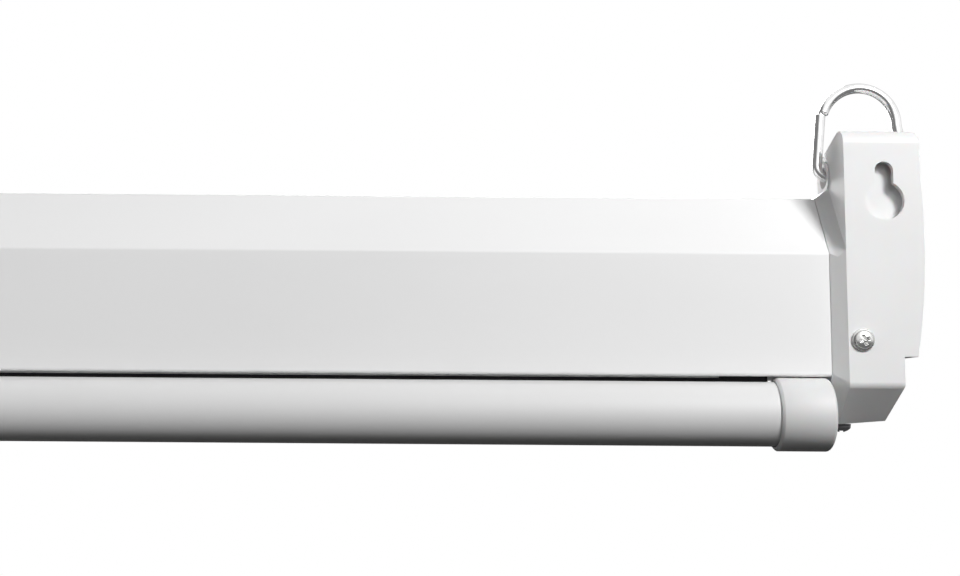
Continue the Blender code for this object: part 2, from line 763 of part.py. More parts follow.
def make_cap_screws(material):
    front = screw_mesh(SCREW_HEAD, SCREW_HEAD_HEIGHT, SCREW_SHANK, FRONT_SCREW_LENGTH, material)
    height = BOTTOM_SCREW_HEAD_HEIGHT
    below = screw_mesh(BOTTOM_SCREW_HEAD, height, SCREW_SHANK, BOTTOM_SCREW_LENGTH, material)
    chin_slope = CHIN_RISE / (CHIN_RIGHT - CAP_SKIRT)
    chin = CAP_BOTTOM - CHIN_DROP + chin_slope * (BOTTOM_SCREW_X - BOTTOM_SCREW_HEAD - CAP_SKIRT)
    for side, end in ((1, "right"), (-1, "left")):
        seat = Vector((side * (END + FRONT_SCREW_X), CAP_FRONT - SEAT_GAP, FRONT_SCREW_Z))
        drive("front_screw_" + end, front, seat, (0, -1, 0))
        seat = Vector((side * (END + BOTTOM_SCREW_X), AXIS.y, chin - SEAT_GAP))
        drive("bottom_screw_" + end, below, seat, (0, 0, -1))


def make_roller_tube(material):
    inner = ROLLER_RADIUS - ROLLER_WALL
    profile = [
        (-ROLLER_END, inner),
        (-ROLLER_END, ROLLER_RADIUS),
        (ROLLER_END, ROLLER_RADIUS),
        (ROLLER_END, inner),
    ]
    return hinge_at(turned("roller_tube", profile, AXIS, material), AXIS)


def pin_spots():
    """The two pawl pivots, opposite each other, as (y, z) from the roller's axis."""
    return [(0.0, PAWL_PIVOT_RADIUS), (0.0, -PAWL_PIVOT_RADIUS)]


def make_roller_head(material):
    """The driven head, plugged into the tube, whose flange carries the pawls."""
    bore = SHAFT_RADIUS + RUN_GAP
    plug = ROLLER_RADIUS - ROLLER_WALL - SEAT_GAP
    back = ROLLER_END - HEAD_PLUG
    profile = [
        (back, bore),
        (back, plug - CAP_EDGE),
        (back + CAP_EDGE, plug),
        (HEAD_FACE, plug),
        (HEAD_FACE, HEAD_FLANGE_RADIUS),
        (HEAD_FACE + HEAD_FLANGE, HEAD_FLANGE_RADIUS),
        (HEAD_FACE + HEAD_FLANGE, bore),
    ]
    head = turned("roller_head", profile, AXIS, material)
    for y, z in pin_spots():
        low = (HEAD_FACE - HEAD_FLANGE, AXIS.y + y, AXIS.z + z)
        hole = rod(low, (RATCHET_X + HEAD_FLANGE, 0, 0), PAWL_PIN + SEAT_GAP, material)
        combine(head, hole)
    return hinge_at(head, AXIS)


def make_pawl_pins(material):
    """Headed pins that the pawls swing on."""
    near = HEAD_FACE - HEAD_FLANGE + SEAT_GAP
    face = RATCHET_X + RATCHET_THICKNESS + SEAT_GAP
    end = face + PAWL_PIN_HEAD_HEIGHT
    profile = [(near, 0), (near, PAWL_PIN), (face, PAWL_PIN), (face, PAWL_PIN_HEAD)]
    profile += [(end, PAWL_PIN_HEAD), (end, 0)]
    for letter, (y, z) in zip("ab", pin_spots()):
        spot = AXIS + Vector((0, y, z))
        hinge_at(turned("pawl_pin_" + letter, profile, spot, material, 16), spot)


def pawl_outline(swing, grow=0.0):
    """The upper pawl's outline as (y, z), swung in by an angle and grown by a clearance."""
    reach = math.radians(90 - PAWL_REACH_ANGLE)
    nose = Vector((math.cos(reach), math.sin(reach))) * PAWL_NOSE_REST
    pivot = Vector((0, PAWL_PIVOT_RADIUS))
    nose = pivot + Matrix.Rotation(-math.radians(swing), 2) @ (nose - pivot)
    return link_outline(pivot, PAWL_EYE + grow, nose, PAWL_NOSE + grow)


def about_axis(outline, sign):
    """Moves an outline from the roller's axis to its place, turned by half a turn for -1."""
    return [(AXIS.y + sign * y, AXIS.z + sign * z) for y, z in outline]


def make_ratchet(material):
    """The fixed wheel on the shaft, with a notch for each pawl to drop into."""
    wheel = prism(
        "ratchet_wheel",
        circle((AXIS.y, AXIS.z), RATCHET_RADIUS, ROUND),
        "X",
        RATCHET_X,
        RATCHET_X + RATCHET_THICKNESS,
        material,
    )
    low, high = RATCHET_X - RUN_GAP, RATCHET_X + RATCHET_THICKNESS + RUN_GAP
    for sign in (1, -1):
        for share in (1, 0.5):
            swept = about_axis(pawl_outline(PAWL_SWING * share, RUN_GAP), sign)
            combine(wheel, prism("notch", swept, "X", low, high, material))
    return combine(wheel, keyed_bar(low, high, SEAT_GAP, material))


def keyed_bar(low, high, grow, material):
    """The shaft's section where it is flattened on two sides, grown by a clearance."""
    radius, flat = SHAFT_RADIUS + grow, SHAFT_FLAT + grow
    meet = math.degrees(math.asin(flat / radius))
    centre = (AXIS.y, AXIS.z)
    outline = arc(centre, radius, -meet, meet, 10) + arc(centre, radius, 180 - meet, 180 + meet, 10)
    return prism("keyed_bar", outline, "X", low, high, material)


def make_pawls(material):
    """Two pawls that drop into the ratchet when the roller stands still."""
    low, high = RATCHET_X, RATCHET_X + RATCHET_THICKNESS
    for letter, sign in (("a", 1), ("b", -1)):
        pivot = (AXIS.y, AXIS.z + sign * PAWL_PIVOT_RADIUS)
        outline = about_axis(pawl_outline(0), sign)
        pawl = prism("pawl_" + letter, outline, "X", low, high, material)
        past = RUN_GAP
        hole = rod((low - past, *pivot), (high + past, 0, 0), PAWL_PIN + SEAT_GAP, material, "X", 16)
        combine(pawl, hole)
        hinge_at(pawl, Vector((0, *pivot)))


def make_shaft(material):
    """The fixed shaft: round in the spring, keyed in the ratchet, flat in the bracket."""
    inner_end = spring_span()[0] - SPRING_PLUG
    keyed = RATCHET_X - SEAT_GAP
    shoulder = RATCHET_X + RATCHET_THICKNESS + SEAT_GAP
    profile = [(inner_end, 0), (inner_end, SHAFT_RADIUS), (keyed, SHAFT_RADIUS), (keyed, 0)]
    shaft = turned("spring_shaft", profile, AXIS, material, 28)
    combine(shaft, keyed_bar(keyed - CASE_WALL, shoulder, 0.0, material), "UNION")
    tip = BRACKET_FACE + 2 * BRACKET_SHEET
    tongue = block(
        "tongue",
        (shoulder - CASE_WALL, AXIS.y - TONGUE_THICKNESS / 2, -TONGUE_HEIGHT / 2),
        (tip, AXIS.y + TONGUE_THICKNESS / 2, TONGUE_HEIGHT / 2),
        material,
    )
    return combine(shaft, tongue, "UNION")


def spring_span():
    """Where the spring starts and ends along X."""
    anchor_inner = ROLLER_END - HEAD_PLUG - SEAT_GAP - ANCHOR_LENGTH
    end = anchor_inner - SEAT_GAP
    return end - SPRING_LENGTH, end


def make_spring_anchor(material):
    """The collar that ties the fixed end of the spring to the shaft."""
    high = ROLLER_END - HEAD_PLUG - SEAT_GAP
    low = high - ANCHOR_LENGTH
    bore = SHAFT_RADIUS + SEAT_GAP
    edge = CAP_EDGE
    profile = [(low, bore), (low, ANCHOR_RADIUS - edge), (low + edge, ANCHOR_RADIUS)]
    profile += [(high - edge, ANCHOR_RADIUS), (high, ANCHOR_RADIUS - edge), (high, bore)]
    return turned("spring_anchor", profile, AXIS, material, 32)


def make_spring_plug(material):
    """The plug in the tube that the moving end of the spring drives."""
    high = spring_span()[0] - SEAT_GAP
    low = high - SPRING_PLUG
    bore = SHAFT_RADIUS + RUN_GAP
    plug = ROLLER_RADIUS - ROLLER_WALL - SEAT_GAP
    edge = CAP_EDGE
    profile = [(low, bore), (low, plug - edge), (low + edge, plug)]
    profile += [(high - edge, plug), (high, plug - edge), (high, bore)]
    return hinge_at(turned("spring_plug", profile, AXIS, material, 32), AXIS)


def spring_points():
    """The spring's middle line: a helix about X whose ends run straight along X."""
    low, high = spring_span()
    start, end = low + SPRING_WIRE, high - SPRING_WIRE
    count = SPRING_COILS * SPRING_STEPS
    points = [(low, 0, SPRING_RADIUS)]
    for i in range(count + 1):
        angle = math.tau * SPRING_COILS * i / count
        x = start + (end - start) * i / count
        points.append((x, -SPRING_RADIUS * math.sin(angle), SPRING_RADIUS * math.cos(angle)))
    points.append((high, 0, SPRING_RADIUS))
    return points


def make_spring(material):
    points = spring_points()
    spring = swept_wire("torsion_spring", points, SPRING_WIRE, material, 1)
    spring.location = AXIS
    turn = SPRING_STEPS
    body = [Vector(point) for point in points[1:-1]]
    nearest = min(
        (body[i] - body[i + step]).length
        for i in range(0, len(body) - turn - 3)
        for step in range(turn - 2, turn + 3)
    )
    print(f"least gap between the spring's turns: {(nearest - SPRING_WIRE) * 1000:.2f} mm")
    return spring


def make_idle_end(metal, plastic):
    """The left end of the roller: a plug with a pin that turns in a bush."""
    plug = ROLLER_RADIUS - ROLLER_WALL - SEAT_GAP
    bore = IDLE_PIN_RADIUS + SEAT_GAP
    near = -ROLLER_END + HEAD_PLUG
    face = -HEAD_FACE
    edge = CAP_EDGE
    profile = [(face - HEAD_FLANGE, bore), (face - HEAD_FLANGE, HEAD_FLANGE_RADIUS)]
    profile += [(face, HEAD_FLANGE_RADIUS), (face, plug), (near - edge, plug)]
    profile += [(near, plug - edge), (near, bore)]
    hinge_at(turned("idle_plug", profile, AXIS, plastic), AXIS)
    tip = -BRACKET_FACE - 2 * BRACKET_SHEET - IDLE_BUSH_WALL
    root = near - SEAT_GAP
    radius = IDLE_PIN_RADIUS
    rounding = radius / 3
    pin = [(tip, 0), (tip, radius - rounding), (tip + rounding, radius), (root, radius), (root, 0)]
    hinge_at(turned("idle_pin", pin, AXIS, metal, 24), AXIS)


def make_idle_bush(plastic):
    """A flanged bush in the left bracket."""
    bore = IDLE_PIN_RADIUS + RUN_GAP
    sleeve = bore + IDLE_BUSH_WALL
    inner = -BRACKET_FACE + SEAT_GAP
    outer = -BRACKET_FACE - BRACKET_SHEET - IDLE_BUSH_RIM
    profile = [(outer, bore), (outer, sleeve), (inner, sleeve), (inner, IDLE_BUSH_FLANGE)]
    profile += [(inner + IDLE_BUSH_RIM, IDLE_BUSH_FLANGE), (inner + IDLE_BUSH_RIM, bore)]
    return turned("idle_bush", profile, AXIS, plastic, 28)


def make_fabric_roll(material):
    """The wound fabric, as one closed ring round the tube."""
    half = FABRIC_WIDTH / 2
    profile = [(-half, ROLL_INNER), (-half, ROLL_RADIUS), (half, ROLL_RADIUS), (half, ROLL_INNER)]
    return hinge_at(turned("fabric_roll", profile, AXIS, material, 56), AXIS)


def make_fabric_drop(material):
    """The free fabric between the roll and the rod in the weight bar."""
    half = FABRIC_WIDTH / 2
    thick = FABRIC_FREE_THICKNESS / 2
    foot = HEM_ROD_Z + HEM_ROD_RADIUS + SEAT_GAP
    low = (-half, FABRIC_Y - thick, foot)
    return block("fabric_drop", low, (half, FABRIC_Y + thick, AXIS.z), material)


def make_bar_tube(material):
    """The weight bar: a round tube with a slot along its top."""
    outer, inner = BAR_RADIUS, BAR_RADIUS - BAR_WALL
    half = BAR_SLOT / 2
    lean_out = math.degrees(math.asin(half / outer))
    lean_in = math.degrees(math.asin(half / inner))
    centre = (FABRIC_Y, BAR_Z)
    outline = arc(centre, outer, 90 + lean_out, 450 - lean_out, ROUND)
    outline += arc(centre, inner, 450 - lean_in, 90 + lean_in, ROUND)
    end = BAR_END - BAR_CAP_END - SEAT_GAP
    tube = prism("weight_bar_tube", outline, "X", -end, end, material)
    for side in (1, -1):
        low = (side * SADDLE_SCREW_X, FABRIC_Y, BAR_Z - BAR_RADIUS - BAR_WALL)
        hole = SADDLE_SCREW_SHANK + SEAT_GAP
        combine(tube, rod(low, (0, 0, BAR_Z - BAR_RADIUS / 2), hole, material, "Z", 16))
    return tube


def make_bar_cap(material):
    """A push-on cup over the end of the bar, with a bevelled mouth and a rounded outer edge."""
    bore = BAR_RADIUS + SEAT_GAP
    mouth = BAR_END - BAR_CAP_LENGTH
    floor = BAR_END - BAR_CAP_END
    rim = arc((BAR_END - BAR_CAP_ROUND, BAR_CAP_RADIUS - BAR_CAP_ROUND), BAR_CAP_ROUND, 90, 0, 5)
    profile = [(floor, 0), (floor, bore), (mouth, bore), (mouth, bore + BAR_CAP_LIP)]
    profile += [(mouth + BAR_CAP_BEVEL, BAR_CAP_RADIUS), *rim, (BAR_END, 0)]
    return turned("bar_cap_right", profile, BAR_AXIS, material)


def make_hem_rod(material):
    """The rod in the fabric's hem, too thick to pass the bar's slot."""
    half = FABRIC_WIDTH / 2
    radius = HEM_ROD_RADIUS
    profile = [(-half, 0), (-half, radius), (half, radius), (half, 0)]
    return turned("hem_rod", profile, Vector((0, FABRIC_Y, HEM_ROD_Z)), material, SMALL_ROUND)


def make_saddle(material):
    """The clip under the middle of the bar that holds the pull handle."""
    inner = BAR_RADIUS + SEAT_GAP
    outer = inner + SADDLE_WALL
    start, end = 270 - SADDLE_WRAP / 2, 270 + SADDLE_WRAP / 2
    centre = (FABRIC_Y, BAR_Z)
    outline = arc(centre, outer, start, end, 18) + arc(centre, inner, end, start, 18)
    half = SADDLE_LENGTH / 2
    saddle = prism("handle_saddle", outline, "X", -half, half, material)
    eye = HANDLE_WIRE / 2 + RUN_GAP + SADDLE_WALL
    top = Vector((FABRIC_Y, BAR_Z - inner - SADDLE_WALL / 2))
    drop = Vector((HANDLE_AXIS.y, HANDLE_AXIS.z))
    tongue = link_outline(top, HANDLE_LUG_ROOT, drop, eye)
    lug = prism("lug", tongue, "X", -HANDLE_LUG_THICKNESS / 2, HANDLE_LUG_THICKNESS / 2, material)
    low = (-HANDLE_LUG_THICKNESS, FABRIC_Y, BAR_Z)
    combine(lug, rod(low, (HANDLE_LUG_THICKNESS, 0, 0), inner, material, "X", 2 * ROUND))
    combine(saddle, lug, "UNION")
    low = (-HANDLE_LUG_THICKNESS, HANDLE_AXIS.y, HANDLE_AXIS.z)
    eye_hole = rod(low, (HANDLE_LUG_THICKNESS, 0, 0), HANDLE_WIRE / 2 + RUN_GAP, material, "X", 24)
    combine(saddle, eye_hole)
    seat = saddle_screw_seat()
    for side in (1, -1):
        below = (side * SADDLE_SCREW_X, FABRIC_Y, seat - SADDLE_WALL)
        well = SADDLE_SCREW_HEAD + RUN_GAP
        combine(saddle, rod(below, (0, 0, seat), well, material, "Z", 20))
        shank = SADDLE_SCREW_SHANK + SEAT_GAP
        combine(saddle, rod(below, (0, 0, BAR_Z), shank, material, "Z", 16))
    return saddle


def saddle_screw_seat():
    return BAR_Z - BAR_RADIUS - SEAT_GAP - SADDLE_WALL / 2


def make_saddle_screws(material):
    head, height = SADDLE_SCREW_HEAD, SADDLE_SCREW_HEAD_HEIGHT
    mesh = screw_mesh(head, height, SADDLE_SCREW_SHANK, SADDLE_SCREW_LENGTH, material)
    for letter, side in (("a", -1), ("b", 1)):
        seat = Vector((side * SADDLE_SCREW_X, FABRIC_Y, saddle_screw_seat() - SEAT_GAP))
        drive("saddle_screw_" + letter, mesh, seat, (0, 0, -1))


def make_handle(material):
    """The pull handle: a round bar bent into a wide loop through the saddle's eye."""
    foot = HANDLE_WIDTH / 2
    drop = HANDLE_HEIGHT
    narrow = foot - HANDLE_TAPER
    corners = [(-narrow, 0), (-foot, -drop), (foot, -drop), (narrow, 0)]
    loop = rounded(corners, [HANDLE_BEND] * 4, 6)
    seam = HANDLE_LUG_THICKNESS / 2 + HANDLE_WIRE
    points = [(x, 0, z) for x, z in [(-seam, 0), *loop, (seam, 0)]]
    points += [(seam / 3, 0, 0), (-seam / 3, 0, 0)]
    handle = swept_wire("pull_handle", points, HANDLE_WIRE, material, 3)
    handle.data.splines[0].use_cyclic_u = True
    handle.location = HANDLE_AXIS
    return handle


def build():
    clear_scene()
    paint = finish("case_paint", (0.84, 0.85, 0.85), 0.38)
    plastic = finish("cap_plastic", (0.86, 0.87, 0.87), 0.42)
    chrome = finish("ring_chrome", (0.80, 0.80, 0.80), 0.12, 1.0)
    zinc = finish("zinc_steel", (0.62, 0.62, 0.60), 0.32, 1.0)
    spring_steel = finish("spring_steel", (0.34, 0.34, 0.35), 0.35, 1.0)
    nylon = finish("nylon", (0.78, 0.77, 0.72), 0.45)
    cloth = finish("screen_fabric", (0.88, 0.88, 0.87), 0.85)
    bar_paint = finish("bar_paint", (0.83, 0.84, 0.84), 0.35)
    make_case(paint)
    mirrored(make_end_cap(plastic), "end_cap_left")
    bracket = make_bracket(zinc)
    bore_bracket(mirrored(bracket, "bracket_left"), zinc)
    slot_bracket(bracket, zinc)
    make_cap_screws(zinc)
    make_ring("ring_right", 1, chrome)
    make_ring("ring_left", -1, chrome)
    make_roller_tube(zinc)
    make_roller_head(nylon)
    make_pawl_pins(zinc)
    make_ratchet(zinc)
    make_pawls(zinc)
    make_shaft(zinc)
    make_spring_anchor(zinc)
    make_spring_plug(nylon)
    make_spring(spring_steel)
    make_idle_end(zinc, nylon)
    make_idle_bush(nylon)
    make_fabric_roll(cloth)
    make_fabric_drop(cloth)
    make_bar_tube(bar_paint)
    mirrored(make_bar_cap(plastic), "bar_cap_left")
    make_hem_rod(zinc)
    make_saddle(plastic)
    make_saddle_screws(zinc)
    make_handle(plastic)
    shade_all()


build()
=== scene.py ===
# %% [markdown]
# # A pull-down projection screen, wound up in its case
#
# The real object is a white metal case with a spring roller inside, moulded end caps with a
# keyhole and a hanging ring each, and a weight bar that closes the case from below. The rigid
# pieces come from the CAD model. This lesson adds what CAD leaves plain: the wound cloth, bright
# bent wire, screws with threads, smooth round faces, and a finish for every surface.

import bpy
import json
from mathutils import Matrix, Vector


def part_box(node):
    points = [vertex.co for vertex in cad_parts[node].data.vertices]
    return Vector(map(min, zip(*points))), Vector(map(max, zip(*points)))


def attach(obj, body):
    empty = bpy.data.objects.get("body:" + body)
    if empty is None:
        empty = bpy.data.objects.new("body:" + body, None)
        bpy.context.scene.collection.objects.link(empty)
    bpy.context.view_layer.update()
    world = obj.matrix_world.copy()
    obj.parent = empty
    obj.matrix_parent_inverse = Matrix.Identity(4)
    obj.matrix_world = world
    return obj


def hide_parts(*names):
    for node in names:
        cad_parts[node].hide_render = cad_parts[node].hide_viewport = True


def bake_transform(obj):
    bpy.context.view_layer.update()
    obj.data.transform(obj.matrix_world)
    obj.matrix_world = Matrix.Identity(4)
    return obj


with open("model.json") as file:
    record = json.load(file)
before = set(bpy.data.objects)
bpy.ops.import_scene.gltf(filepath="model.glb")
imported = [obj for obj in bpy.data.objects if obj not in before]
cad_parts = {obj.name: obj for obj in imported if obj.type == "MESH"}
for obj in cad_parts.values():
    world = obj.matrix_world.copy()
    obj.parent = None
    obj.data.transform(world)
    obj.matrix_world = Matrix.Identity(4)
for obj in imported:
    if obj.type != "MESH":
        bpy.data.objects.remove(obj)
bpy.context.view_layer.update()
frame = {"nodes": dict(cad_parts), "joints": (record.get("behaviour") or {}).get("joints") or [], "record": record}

# %% Tools that every later cell uses
import json
import math

import bmesh
import bpy
import numpy as np
from mathutils import Matrix, Vector

MM = 0.001
NODES = frame["nodes"]
BODY_NODES = frame["record"]["behaviour"]["bodies"]


def corner(node, end):
    """One corner of a CAD node's box as numbers: end 0 is the lowest, 1 the highest."""
    return np.array(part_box(node)[end])


def middle(node):
    """The middle of a CAD node's box."""
    return (corner(node, 0) + corner(node, 1)) / 2


def pivot(joint):
    """The point on a hinge's axis that the record gives."""
    return np.array(next(j["pos_m"] for j in frame["joints"] if j["name"] == joint))


# %% [markdown]
# ## Places
#
# Nothing is measured twice. The case's end and the roller's axis are read from the CAD nodes'
# boxes, and the pivots of the rings and the handle from the record's joints, so each new piece
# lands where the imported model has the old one.

# %% Places read from the frame
WINDING_GAP = 0.3 * MM


def span(node):
    """The three sides of a CAD node's box."""
    return corner(node, 1) - corner(node, 0)


CASE_END = corner("case_extrusion", 1)[0]
CASE_FRONT = corner("case_extrusion", 0)[1]
ROLLER_AXIS = middle("roller_tube")
CLOTH_HALF = corner("fabric_roll", 1)[0]
ROLL_OUTER = span("fabric_roll")[2] / 2
ROLL_INNER = span("roller_tube")[2] / 2 + WINDING_GAP
BAR_AXIS = middle("weight_bar_tube")
BAR_RADIUS = span("weight_bar_tube")[1] / 2
print("case end at", round(CASE_END, 4), "roller axis", np.round(ROLLER_AXIS, 4))

# %% [markdown]
# ## Meshes from formulas
#
# A surface here is a grid of points, worked out as one numpy array, and the faces join
# neighbours in the grid. A tube is a circle carried along a path; a turned piece is a profile
# carried round an axis. Both are grids, so one function makes all the meshes.


# %% A surface from a grid of points
SAME_POINT = 1e-7


def grid_faces(rows, columns, wrap_rows, wrap_columns):
    """Four-cornered faces between neighbours of a rows by columns grid, as an index array."""
    i = np.arange(rows if wrap_rows else rows - 1)[:, None]
    j = np.arange(columns if wrap_columns else columns - 1)[None, :]
    below, beside = (i + 1) % rows, (j + 1) % columns
    corners = [i * columns + j, i * columns + beside, below * columns + beside, below * columns + j]
    return np.stack(corners, axis=-1).reshape(-1, 4)


def surface(name, points, wrap_rows=False, wrap_columns=False, close=0.0):
    """An object from a grid of points. With close above 0, points nearer than that are merged,
    open rims are filled and the faces turned outwards."""
    rows, columns = points.shape[:2]
    faces = grid_faces(rows, columns, wrap_rows, wrap_columns)
    mesh = bpy.data.meshes.new(name)
    mesh.from_pydata(points.reshape(-1, 3).tolist(), [], faces.tolist())
    if close:
        bm = bmesh.new()
        bm.from_mesh(mesh)
        bmesh.ops.remove_doubles(bm, verts=bm.verts, dist=close)
        bmesh.ops.holes_fill(bm, edges=[e for e in bm.edges if e.is_boundary], sides=0)
        bmesh.ops.recalc_face_normals(bm, faces=bm.faces)
        bm.to_mesh(mesh)
        bm.free()
    thing = bpy.data.objects.new(name, mesh)
    bpy.context.scene.collection.objects.link(thing)
    mesh.shade_smooth()
    return thing


def unit(vectors):
    """Vectors of the same direction and of length 1."""
    return vectors / np.linalg.norm(vectors, axis=-1, keepdims=True)


# %% Tubes and turned surfaces
OBLIQUE = (0.31, 0.52, 0.79)


def tube(name, path, radius, across, sides, closed=False):
    """A circle carried along the path. The radius and the vector across are one for the whole
    path or one for each point. The circle's first axis is the cross product of the path's
    direction with across, and its second that of the direction with the first."""
    path = np.asarray(path, float)
    if closed:
        ahead, behind = np.roll(path, -1, 0), np.roll(path, 1, 0)
    else:
        ahead = np.vstack([path[1:], 2 * path[-1] - path[-2]])
        behind = np.vstack([2 * path[0] - path[1], path[:-1]])
    direction = unit(ahead - behind)
    first = unit(np.cross(direction, across))
    second = np.cross(direction, first)
    turn = np.linspace(0, 2 * np.pi, sides, endpoint=False)[None, :, None]
    radii = np.broadcast_to(np.asarray(radius, float), (len(path),))[:, None, None]
    circle = first[:, None] * np.cos(turn) + second[:, None] * np.sin(turn)
    points = path[:, None] + radii * circle
    return surface(name, points, wrap_rows=closed, wrap_columns=True, close=SAME_POINT)


def turned(name, profile, centre, along, sides):
    """A profile of (distance along, radius) pairs carried round an axis through centre.
    The point at angle t is centre + distance * along + radius * (u cos t + v sin t), where u
    and v are at right angles to the axis and to each other."""
    along = np.asarray(along, float)
    u = unit(np.cross(along, OBLIQUE))
    v = np.cross(along, u)
    turn = np.linspace(0, 2 * np.pi, sides, endpoint=False)[None, :, None]
    distance, radius = np.asarray(profile, float).T[:, :, None, None]
    points = np.asarray(centre) + distance * along + radius * (u * np.cos(turn) + v * np.sin(turn))
    return surface(name, points, wrap_columns=True, close=SAME_POINT)


# %% [markdown]
# A bent wire's path is a line of straights and arcs in a plane. It is resampled in even steps, so
# that the tube around it has even faces.


# %% Lines in a plane
def arc_points(centre, radius, start, end, count):
    """Points on an arc in a plane, with angles in degrees."""
    t = np.radians(np.linspace(start, end, count))
    return np.column_stack([centre[0] + radius * np.cos(t), centre[1] + radius * np.sin(t)])


def rounded_line(corners, radii, count):
    """A line in a plane through the corners, each inner corner replaced by an arc of its own
    radius. The arc touches both sides at radius / tan(half the corner's angle)."""
    corners = np.asarray(corners, float)
    points = [corners[:1]]
    for before, here, after, radius in zip(corners, corners[1:], corners[2:], radii):
        back, on = unit(before - here), unit(after - here)
        half = math.acos(float(np.clip(back @ on, -1, 1))) / 2
        hub = here + unit(back + on) * radius / math.sin(half)
        first = here + back * radius / math.tan(half) - hub
        last = here + on * radius / math.tan(half) - hub
        sweep = math.atan2(first[0] * last[1] - first[1] * last[0], first @ last)
        angles = math.atan2(first[1], first[0]) + np.linspace(0, sweep, count)
        points.append(hub + radius * np.column_stack([np.cos(angles), np.sin(angles)]))
    return np.vstack([*points, corners[-1:]])


def run_along(line):
    """The distance from the line's start to each of its points."""
    return np.concatenate([[0], np.cumsum(np.linalg.norm(np.diff(line, axis=0), axis=1))])


def evenly(line, step):
    """The same line with a point about every step."""
    run = run_along(line)
    wanted = np.linspace(0, run[-1], max(2, int(run[-1] / step)))
    return np.column_stack([np.interp(wanted, run, column) for column in line.T])


# %% [markdown]
# ## Finishes
#
# A finish is a material whose colour, roughness and bump change over the surface. Long chains of
# nodes are hard to read, so a small class lets them be written as sums: `0.5 + mask * 0.2` adds
# the Math nodes by itself.


# %% A socket that can be added and multiplied
class Value:
    """The output of a node, on which arithmetic adds Math nodes."""

    def __init__(self, graph, socket):
        self.graph, self.socket = graph, socket

    def math(self, operation, *values):
        return self.graph.node("ShaderNodeMath", values, operation=operation)

    def __add__(self, other):
        return self.math("ADD", self, other)

    def __sub__(self, other):
        return self.math("SUBTRACT", self, other)

    def __rsub__(self, other):
        return self.math("SUBTRACT", other, self)

    def __mul__(self, other):
        return self.math("MULTIPLY", self, other)

    __radd__ = __add__
    __rmul__ = __mul__

    def larger(self, other):
        return self.math("MAXIMUM", self, other)

    def absolute(self):
        return self.math("ABSOLUTE", self)

    def smooth(self, low, high):
        """0 below low, 1 above high, and an even S between them."""
        values = (self, low, high, 0.0, 1.0)
        return self.graph.node("ShaderNodeMapRange", values, interpolation_type="SMOOTHSTEP")


class Graph:
    """A node tree in which one method adds any node."""

    def __init__(self, tree):
        self.tree = tree

    def join(self, value, socket):
        """Links a value to a socket, or sets the socket to plain numbers."""
        if isinstance(value, Value):
            self.tree.links.new(value.socket, socket)
        elif socket.type == "RGBA":
            socket.default_value = (*value, 1)
        else:
            socket.default_value = value

    def node(self, kind, inputs=(), output=0, **settings):
        """Adds a node: its settings first, then its inputs, by order or by name."""
        made = self.tree.nodes.new(kind)
        for label, setting in settings.items():
            setattr(made, label, setting)
        for key, value in inputs.items() if isinstance(inputs, dict) else enumerate(inputs):
            self.join(value, made.inputs[key])
        return Value(self, made.outputs[output])

    def parts(self, vector):
        """The three numbers of a vector."""
        split = self.node("ShaderNodeSeparateXYZ", [vector]).socket.node
        return [Value(self, output) for output in split.outputs]

    def colours(self, share, first, second):
        """The first colour where share is 0, the second where it is 1."""
        inputs = {0: share, 6: first, 7: second}
        return self.node("ShaderNodeMix", inputs, output=2, data_type="RGBA")

    def noise(self, place, per_metre, detail=2.0, roughness=0.5):
        """A cloudy pattern from 0 to 1 with that many cells in a metre."""
        inputs = {"Vector": place, "Scale": per_metre, "Detail": detail, "Roughness": roughness}
        return self.node("ShaderNodeTexNoise", inputs)

    def place(self, stretch=(1, 1, 1)):
        """The point on the object in metres. A small stretch draws a pattern out that way."""
        here = self.node("ShaderNodeTexCoord", output="Object")
        return self.node("ShaderNodeMapping", {"Vector": here, "Scale": stretch})


class Finish(Graph):
    """A material and its Principled shader. Fixed values go straight on the shader."""

    def __init__(self, name, **fixed):
        self.material = bpy.data.materials.new(name)
        self.material.use_nodes = True
        super().__init__(self.material.node_tree)
        self.shader = self.tree.nodes["Principled BSDF"]
        for label, value in fixed.items():
            self.join(value, self.shader.inputs[label.replace("_", " ")])

    def give(self, label, value):
        """Sets or links an input of the shader, by its label in Blender."""
        self.join(value, self.shader.inputs[label])
        return self

    def bump(self, height, depth):
        """Turns a height pattern, from 0 to 1, into a relief of that depth in metres."""
        inputs = {"Strength": 1.0, "Distance": depth, "Height": height}
        return self.give("Normal", self.node("ShaderNodeBump", inputs))


def coat(thing, finish):
    """Paints an object with a finish."""
    thing.data.materials.clear()
    thing.data.materials.append(finish.material)
    return thing


# %% [markdown]
# ## Powder coat
#
# The case and the bar are thin metal with baked white paint. Up close such paint is faintly
# pebbled, and it follows the long draw lines of the metal under it. The size of a noise pattern
# is given by how many of its cells lie in a metre.

# %% White paint on the case and the bar
PEBBLES_PER_METRE = 1100.0
DRAW_LINES_PER_METRE = 300.0
CLOUDS_PER_METRE = 9.0
PAINT_RELIEF = 0.010 * MM
PAINT_ROUGHNESS = 0.52


def shaded(colour, share):
    """The colour, darker by a share of itself."""
    return tuple(c * (1 - share) for c in colour)


def powder_coat(name, colour):
    paint = Finish(name, Specular_IOR_Level=0.4, Coat_Roughness=0.35, Coat_Weight=0.06)
    pebbles = paint.noise(paint.place(), PEBBLES_PER_METRE, 1.0)
    drawn = paint.noise(paint.place((0.01, 1, 1)), DRAW_LINES_PER_METRE, 2.0)
    clouds = paint.noise(paint.place((0.4, 1, 1)), CLOUDS_PER_METRE, 3.0)
    paint.give("Base Color", paint.colours(clouds.smooth(0.35, 0.65), shaded(colour, 0.03), colour))
    paint.give("Roughness", PAINT_ROUGHNESS + (pebbles - 0.5) * 0.08 + (clouds - 0.5) * 0.06)
    return paint.bump(pebbles * 0.5 + drawn * 0.5, PAINT_RELIEF)


